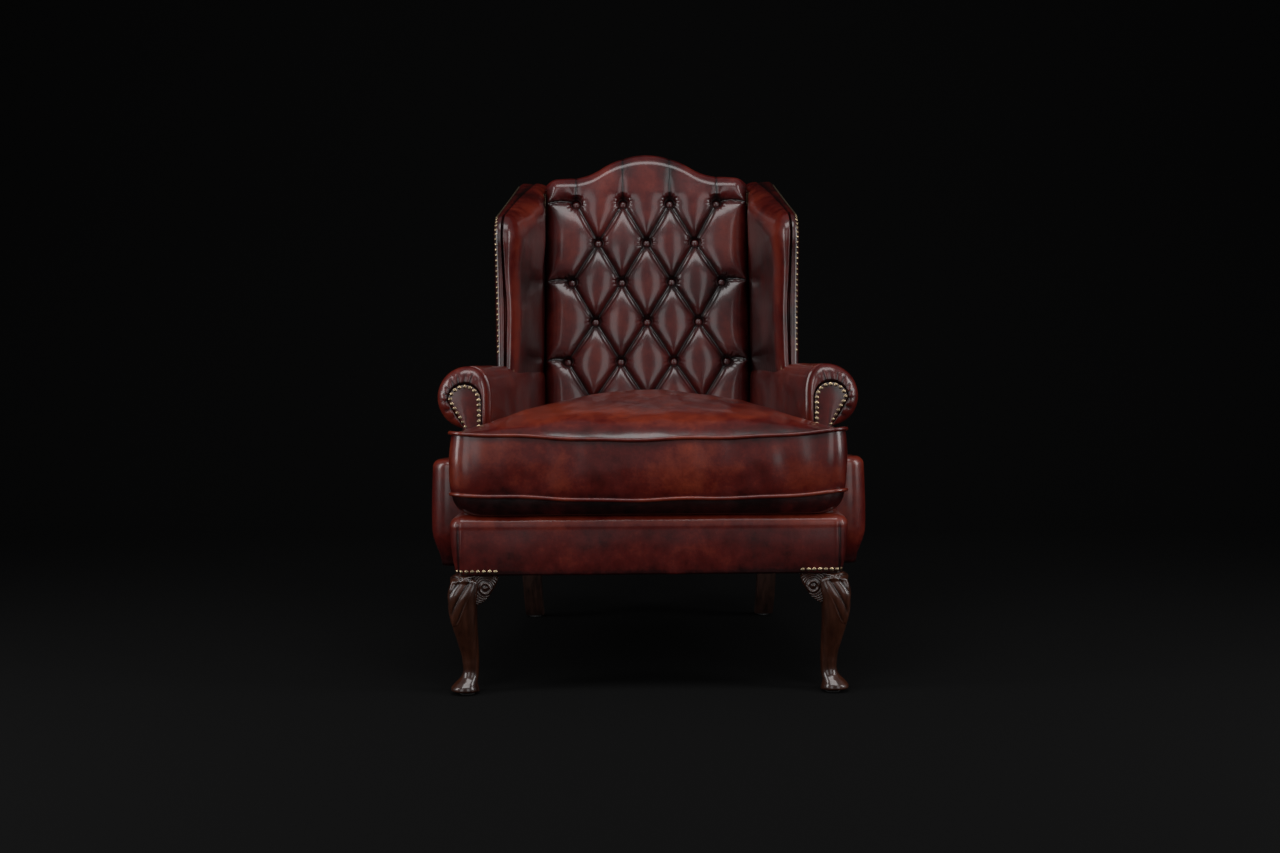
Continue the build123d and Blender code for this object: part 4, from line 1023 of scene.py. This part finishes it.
def cushion_loop(grow=0.0):
    """The T outline, rounded at its corners, from the middle of its front."""
    corners = [
        (0, cushion_front, 0), (ear_half, cushion_front, 34), (ear_half, ear_back, 22), (body_front, ear_back, 14),
        (body_rear, cushion_back, 28), (0, cushion_back, 0)]
    half = np.array([(x, y) for x, y, radius in corners], float)
    points = [half[0]]
    for before, here, after, (_, _, radius) in zip(half, half[1:], half[2:], corners[1:]):
        a = (before - here) / np.linalg.norm(before - here)
        b = (after - here) / np.linalg.norm(after - here)
        cut = radius / math.tan(math.acos(np.clip(a @ b, -1, 1)) / 2)
        points += list(arc_from(here + a * cut, math.atan2(-a[1], -a[0]), here + b * cut, 14)[0])
    points.append(half[-1])
    right = np.array(points)
    left = (right * np.array([-1, 1]))[::-1]
    loop = resample(np.concatenate([right, left[1:]]), 521)[:-1]
    return loop - grow * left_of(loop, closed=True)


def seam_height(loop, base, corner_rise, middle_dip):
    """A seam's height round the cushion: lifted at the front corners, sagging in the middle of the front."""
    ahead = smoothstep(cushion_front + 150, cushion_front, loop[:, 1])
    across = np.clip(np.abs(loop[:, 0]) / ear_half, 0, 1)
    wave = 1.2 * np.sin(loop[:, 0] / 47) + 0.8 * np.sin(loop[:, 0] / 23 + loop[:, 1] / 31)
    return base + ahead * (corner_rise * across ** 2 - middle_dip * (1 - across ** 1.6)) + wave


def round_off(loop, reach):
    """A closed loop with its corners eased and its size kept."""
    weights = np.hanning(2 * reach + 3)[1:-1]
    weights /= weights.sum()
    padded = np.concatenate([loop[-reach:], loop, loop[:reach]])
    eased = np.stack([np.convolve(padded[:, i], weights, "valid") for i in range(2)], axis=-1)
    size, eased_size = np.ptp(loop, axis=0), np.ptp(eased, axis=0)
    middle, eased_middle = loop.min(axis=0) + size / 2, eased.min(axis=0) + eased_size / 2
    return middle + (eased - eased_middle) * size / eased_size


def crown_rings(loop, top, count):
    """Rings up the crown, from the piped seam to its middle: the outline drawn in, how high, and its points' z."""
    depth = cushion_back - cushion_front
    front = ear_back + np.array(crown_depths) * (cushion_front - ear_back) + np.array(crown_shifts) * depth
    rise = np.array(crown_levels) * (crown_top - seam_high)
    reach = np.r_[0, np.cumsum(np.hypot(np.diff(front), np.diff(rise)))]
    for at in reach[-1] * np.linspace(0, 1, count)[1:] ** 1.15:
        tables = (crown_widths, crown_depths, crown_shifts, rise)
        wide, deep, shift, height = (hermite(reach, table, at) for table in tables)
        flat = np.stack([wide * loop[:, 0], ear_back + deep * (loop[:, 1] - ear_back) + shift * depth], axis=-1)
        flat = round_off(flat, 1 + int(1.6 * height))
        yield flat, height, seam_high + height + (top - seam_high) * math.exp(-height / 14)


def make_cushion():
    loop = cushion_loop()
    index = np.arange(len(loop))
    top = seam_height(loop, seam_high, 9, 6)
    bottom = seam_height(loop, seam_low, 11, 2)
    spine = np.clip(loop, (-60, -330), (60, 120))
    under = deck_top + 0.5
    rows, tones = [], []
    for share in (0.2, 0.5, 0.75, 0.86):
        rows.append(at_height(mix(spine, loop, share), under))
        # Painted shade under the cushion.
        tones.append(0.1)
    for a in quarter_turn(10)[:-1]:
        z = mix(under, bottom, 1 - math.cos(a))
        rows.append(at_height(mix(spine, loop, 0.88 + 0.12 * math.sin(a)), z))
        tones.append(0.15)
    free = smoothstep(ear_back + 30, ear_back - 10, loop[:, 1])
    for share in np.linspace(0, 1, 30):
        puff = (1.5 + 4.5 * free) * math.sin(math.pi * share) ** 0.7
        flat = loop - left_of(loop, closed=True) * puff[:, None]
        rows.append(at_height(flat, mix(bottom, top, share)))
        # Painted shade on the boxing by the piped seams.
        tones.append(0.42 + 0.2 * smoothstep(0, 0.2, min(share, 1 - share)))
    for flat, height, z in crown_rings(loop, top, 70):
        gather = np.cos(index / 1.9 + 2.5 * np.sin(index / 17)) * math.exp(-height / 9)
        rows.append(at_height(flat, z + 0.7 * gather))
        # The crown grows brighter towards its top, a painted highlight.
        tones.append(0.4 + 0.3 * smoothstep(0, 30, height) + 0.06 * gather)
    grid = np.array(rows)
    soft = smoothstep(seam_low - 20, seam_low + 20, grid[..., 2])
    grid = swell(grid, soft * (1.6 * lumps(grid, 150, 51) + 0.6 * lumps(grid, 55, 52)))
    wear_and_light = np.array([np.broadcast_to(tone, len(loop)) for tone in tones])
    make_cover("feather_cushion", "seat_cushion", grid, wear_and_light, slot="cushion_leather", body="cushion")
    rim = cushion_loop(grow=piping_radius)
    for name, height in (("top", top), ("bottom", bottom)):
        piece = tube_piece("piping_" + name, at_height(rim, height), piping_radius, 12, 0.7, closed=True)
        dress(piece, "cushion_leather", "cushion_piping_" + name, body="cushion")


# Backs and undersides

def make_outside_back():
    cols, rows = 130, 150
    half = wing_outer_rear - 0.5
    xs = np.linspace(-half, half, cols)
    bend_v = (post_depth + panel_thickness) * math.tan(lean / 2)
    straight = rake_start - bend_v - leg_height
    total = straight + crest_at(xs) - bend_v - 1
    p = np.linspace(0, 1, rows)[:, None] * total
    edge = np.minimum(np.minimum(p, total - p), half - np.abs(xs))
    puff = 5 * smoothstep(16, 120, edge) - 6 * tuck(edge, 6)
    raked = back_points(xs, bend_v + p - straight, -post_depth - panel_thickness - puff)
    upright_part = join(xs, post_rear + panel_thickness + puff, leg_height + p)
    grid = np.where((p < straight)[..., None], upright_part, raked)
    # Painted shade along the tucked edges.
    wear_and_light = 0.3 + 0.3 * smoothstep(0, 70, edge)
    make_cover("outside_back_cover", "outside_back", grid, wear_and_light, (0, post_rear + 4, 500))


def make_deck():
    rows = 60
    ys = np.linspace(border_back + 0.5, post_front - 1, rows)[:, None]
    shares = np.linspace(-1, 1, rows)
    z = deck_top - 2 + 2 * (1 - shares ** 4) * np.sin(np.linspace(0, math.pi, rows))[:, None]
    grid = join(shares * (arm_inner(ys) - 1), ys, z)
    make_cover("deck_cover", "deck_pad", grid, 0.5, (0, 0, rail_top + 4), slot="deck_cloth")


def make_dust_cover():
    rows = 40
    ys = np.linspace(low("dust_cover", Y), high("dust_cover", Y), rows)
    (start, start_half), (end, end_half) = cloth_front, cloth_rear
    half = np.interp(ys, (start, end), (start_half, end_half))
    half = np.where(ys > post_front, post_inner, np.where(ys < start, cloth_front_half, half))
    shares = np.linspace(-1, 1, rows)
    sag = 0.8 * np.cos(shares * math.pi / 2) * np.sin(np.linspace(0, math.pi, rows))[:, None]
    grid = join(shares * half[:, None], ys[:, None], leg_height + 1 - sag)
    hidden = (0, 0, leg_height + 1.5)
    piece = make_cover("dust_cloth", "dust_cover", grid, 0.5, hidden, slot="black_cloth")


# Carved legs

def make_leg(side, name):
    runs = ((303, 224, 6), (222, 120, 96), (118, 30, 44), (28, 4, 22))
    levels = np.concatenate([np.linspace(*run) for run in runs])
    tables = (leg_faces, leg_widths, leg_powers)
    face, width, power = (hermite(leg_levels, table, levels)[:, None] for table in tables)
    turn = np.linspace(0, math.tau, 144, endpoint=False)
    radius = width / 2 * (np.abs(np.cos(turn)) ** power + np.abs(np.sin(turn)) ** power) ** (-1 / power)
    z = np.broadcast_to(levels[:, None], radius.shape)
    corner = np.abs((turn + math.pi / 4 + math.pi) % math.tau - math.pi)
    leaf_half = math.radians(92) * np.sqrt(np.clip((z - leaf_tip) / (leaf_top - leaf_tip), 0, 1))
    inside = smoothstep(0, 0.12, leaf_half - corner) * smoothstep(leaf_top, leaf_top - 10, z)
    vein = np.abs(np.sin(corner / 0.21 + (leaf_top - z) / 11.5))
    carve = inside * (1.3 + 2.4 * (vein ** 0.7 - 0.75) + bell(corner, 0.07))
    carve = carve + 0.9 * bell(leaf_half - corner, 0.07) * (z < leaf_top - 4) * (z > leaf_tip + 2)
    radius = radius + carve - 0.5 * inside
    x = face - width / 2 + radius * np.cos(turn)
    y = leg_front - (face - leg_face) + width / 2 + radius * np.sin(turn)
    # Lighter on the raised carving, darker in its hollows.
    wear_and_light = np.clip(0.5 + 0.3 * (carve - 1.2) * inside, 0.02, 1)
    make_cover("carved_leg_" + name, "front_leg_" + name, join(x, y, z), wear_and_light, side=side, slot="show_wood")


def bracket_grid(root, reach, front):
    """A knee bracket facing -Y, with a C-scroll and a fan of grooves carved in its face."""
    a = np.linspace(0, 1, 60)
    b = a[:, None]
    drop = np.interp(a, (0, 0.25, 0.5, 0.72, 0.9, 1.0), (57, 54, 46, 33, 20, 8))
    x = mix(root, reach, a)
    z = leg_height - b * drop
    edge = np.minimum(np.minimum(b, 1 - b) * drop + 6 * (b < 0.5), (1 - a) * abs(reach - root))
    across, down = x - mix(reach, root, 0.52), z - (leg_height - 24)
    r = np.hypot(across, down)
    turn = np.arctan2(down, across * math.copysign(1, root - reach))
    spiral = 10.5 - 2.2 * (turn + math.pi) / math.tau
    scroll = 2.2 * bell(r - spiral, 1.5) + 2.0 * bell(r, 3.2)
    outside = smoothstep(12, 15, r)
    fan = 0.9 * np.cos((r - 12) / 4.2 * math.tau) * outside * smoothstep(70, 30, r)
    face = front + 5 * tuck(edge, 7) - 1.3 * scroll - 1.4 * fan - 1.0
    # Lighter along the scroll and fan grooves, darker in the scroll's eye.
    return join(x, face, z), np.clip(0.45 + 0.16 * scroll + 0.18 * fan - 0.2 * (outside < 0.5), 0.05, 1)


def make_brackets():
    for side, name in ((1, "right"), (-1, "left")):
        front, front_wear_and_light = bracket_grid(322, 277, -410)
        flank, flank_wear_and_light = bracket_grid(0, 45, 0)
        flank = join(351 - flank[..., 1], -366 + flank[..., 0], flank[..., 2])
        for label, grid, wear_and_light, hidden in (
                ("front", front, front_wear_and_light, (300, -392, 210)), ("side", flank, flank_wear_and_light, (335, -350, 210))):
            make_cover(f"knee_bracket_{label}_{name}", "knee_blocks", grid, wear_and_light, hidden, side, "show_wood")


make_tufted_back()
make_buttons()
for side, name in ((1, "right"), (-1, "left")):
    for make in (make_wing, make_outside_wing, make_arm, make_facing, make_outside_arm, make_side_panel, make_leg):
        make(side, name)
make_brackets()
make_border()
make_cushion()
make_outside_back()
make_deck()
make_dust_cover()


# Floor, light and camera, in metres

def make_stage():
    """The photo's black backdrop: a floor that bends up into a wall behind the chair."""
    half_width, front, back, rise, bend = 11.0, -10.0, 2.0, 7.0, 1.4
    profile = [(front, 0.0), (back, 0.0)]
    profile += [(back + bend * math.sin(a), bend * (1 - math.cos(a))) for a in quarter_turn(16)]
    profile.append((back + bend, rise))
    mesh = bpy.data.meshes.new("studio_floor")
    points = [(x, y, z) for y, z in profile for x in (-half_width, half_width)]
    mesh.from_pydata(points, [], [(i, i + 1, i + 3, i + 2) for i in range(0, len(points) - 2, 2)])
    mesh.shade_smooth()
    material, tree, skin = new_material("black_floor")
    feed(tree, skin, {"Base Color": (0.004, 0.004, 0.004, 1), "Roughness": 0.9, "Specular IOR Level": 0.05})
    mesh.materials.append(material)
    add_object("studio_floor", mesh)


def make_lamp(name, place, target, size, power):
    lamp = bpy.data.lights.new(name, "AREA")
    lamp.shape = "RECTANGLE"
    lamp.size, lamp.size_y = size
    lamp.energy = power
    holder = add_object(name, lamp)
    holder.location = place
    way = np.array(target) - np.array(place)
    yaw = math.atan2(way[0], way[1])
    pitch = math.atan2(way[2], math.hypot(way[0], way[1]))
    holder.rotation_euler = (math.pi / 2 + pitch, 0, -yaw)


make_stage()
for way, label in ((-1, "left"), (1, "right")):
    make_lamp("softbox_front_" + label, (1.35 * way, -2.9, 1.35), (0, 0, 0.8), (1.1, 2.3), 14)
    make_lamp("softbox_side_" + label, (2.2 * way, -1.0, 1.3), (0, 0, 0.7), (0.7, 1.8), 24)
make_lamp("softbox_top", (0, -1.2, 2.7), (0, 0.1, 0.7), (2.4, 0.9), 34)
world = bpy.data.worlds.new("soft_room")
world.use_nodes = True
feed(world.node_tree, world.node_tree.nodes["Background"], {"Color": (0.93, 0.95, 1.0, 1), "Strength": 0.16})
bpy.context.scene.world = world
bpy.context.scene.view_settings.view_transform = "Standard"

# The camera was fitted to pixel landmarks of the photo
image_width = 1280
focal_pixels = 1375
middle_column = 647.5
camera_tilt, camera_roll = 2.5, 0.45
camera = bpy.data.cameras.new("photo_camera")
camera.sensor_width = 36
camera.lens = focal_pixels / image_width * camera.sensor_width
camera.shift_x = -(middle_column - image_width / 2) / image_width
holder = add_object("photo_camera", camera)
holder.location = (0, -2.915, 0.602)
holder.rotation_euler = (math.radians(90 - camera_tilt), math.radians(camera_roll), 0)
bpy.context.scene.camera = holder
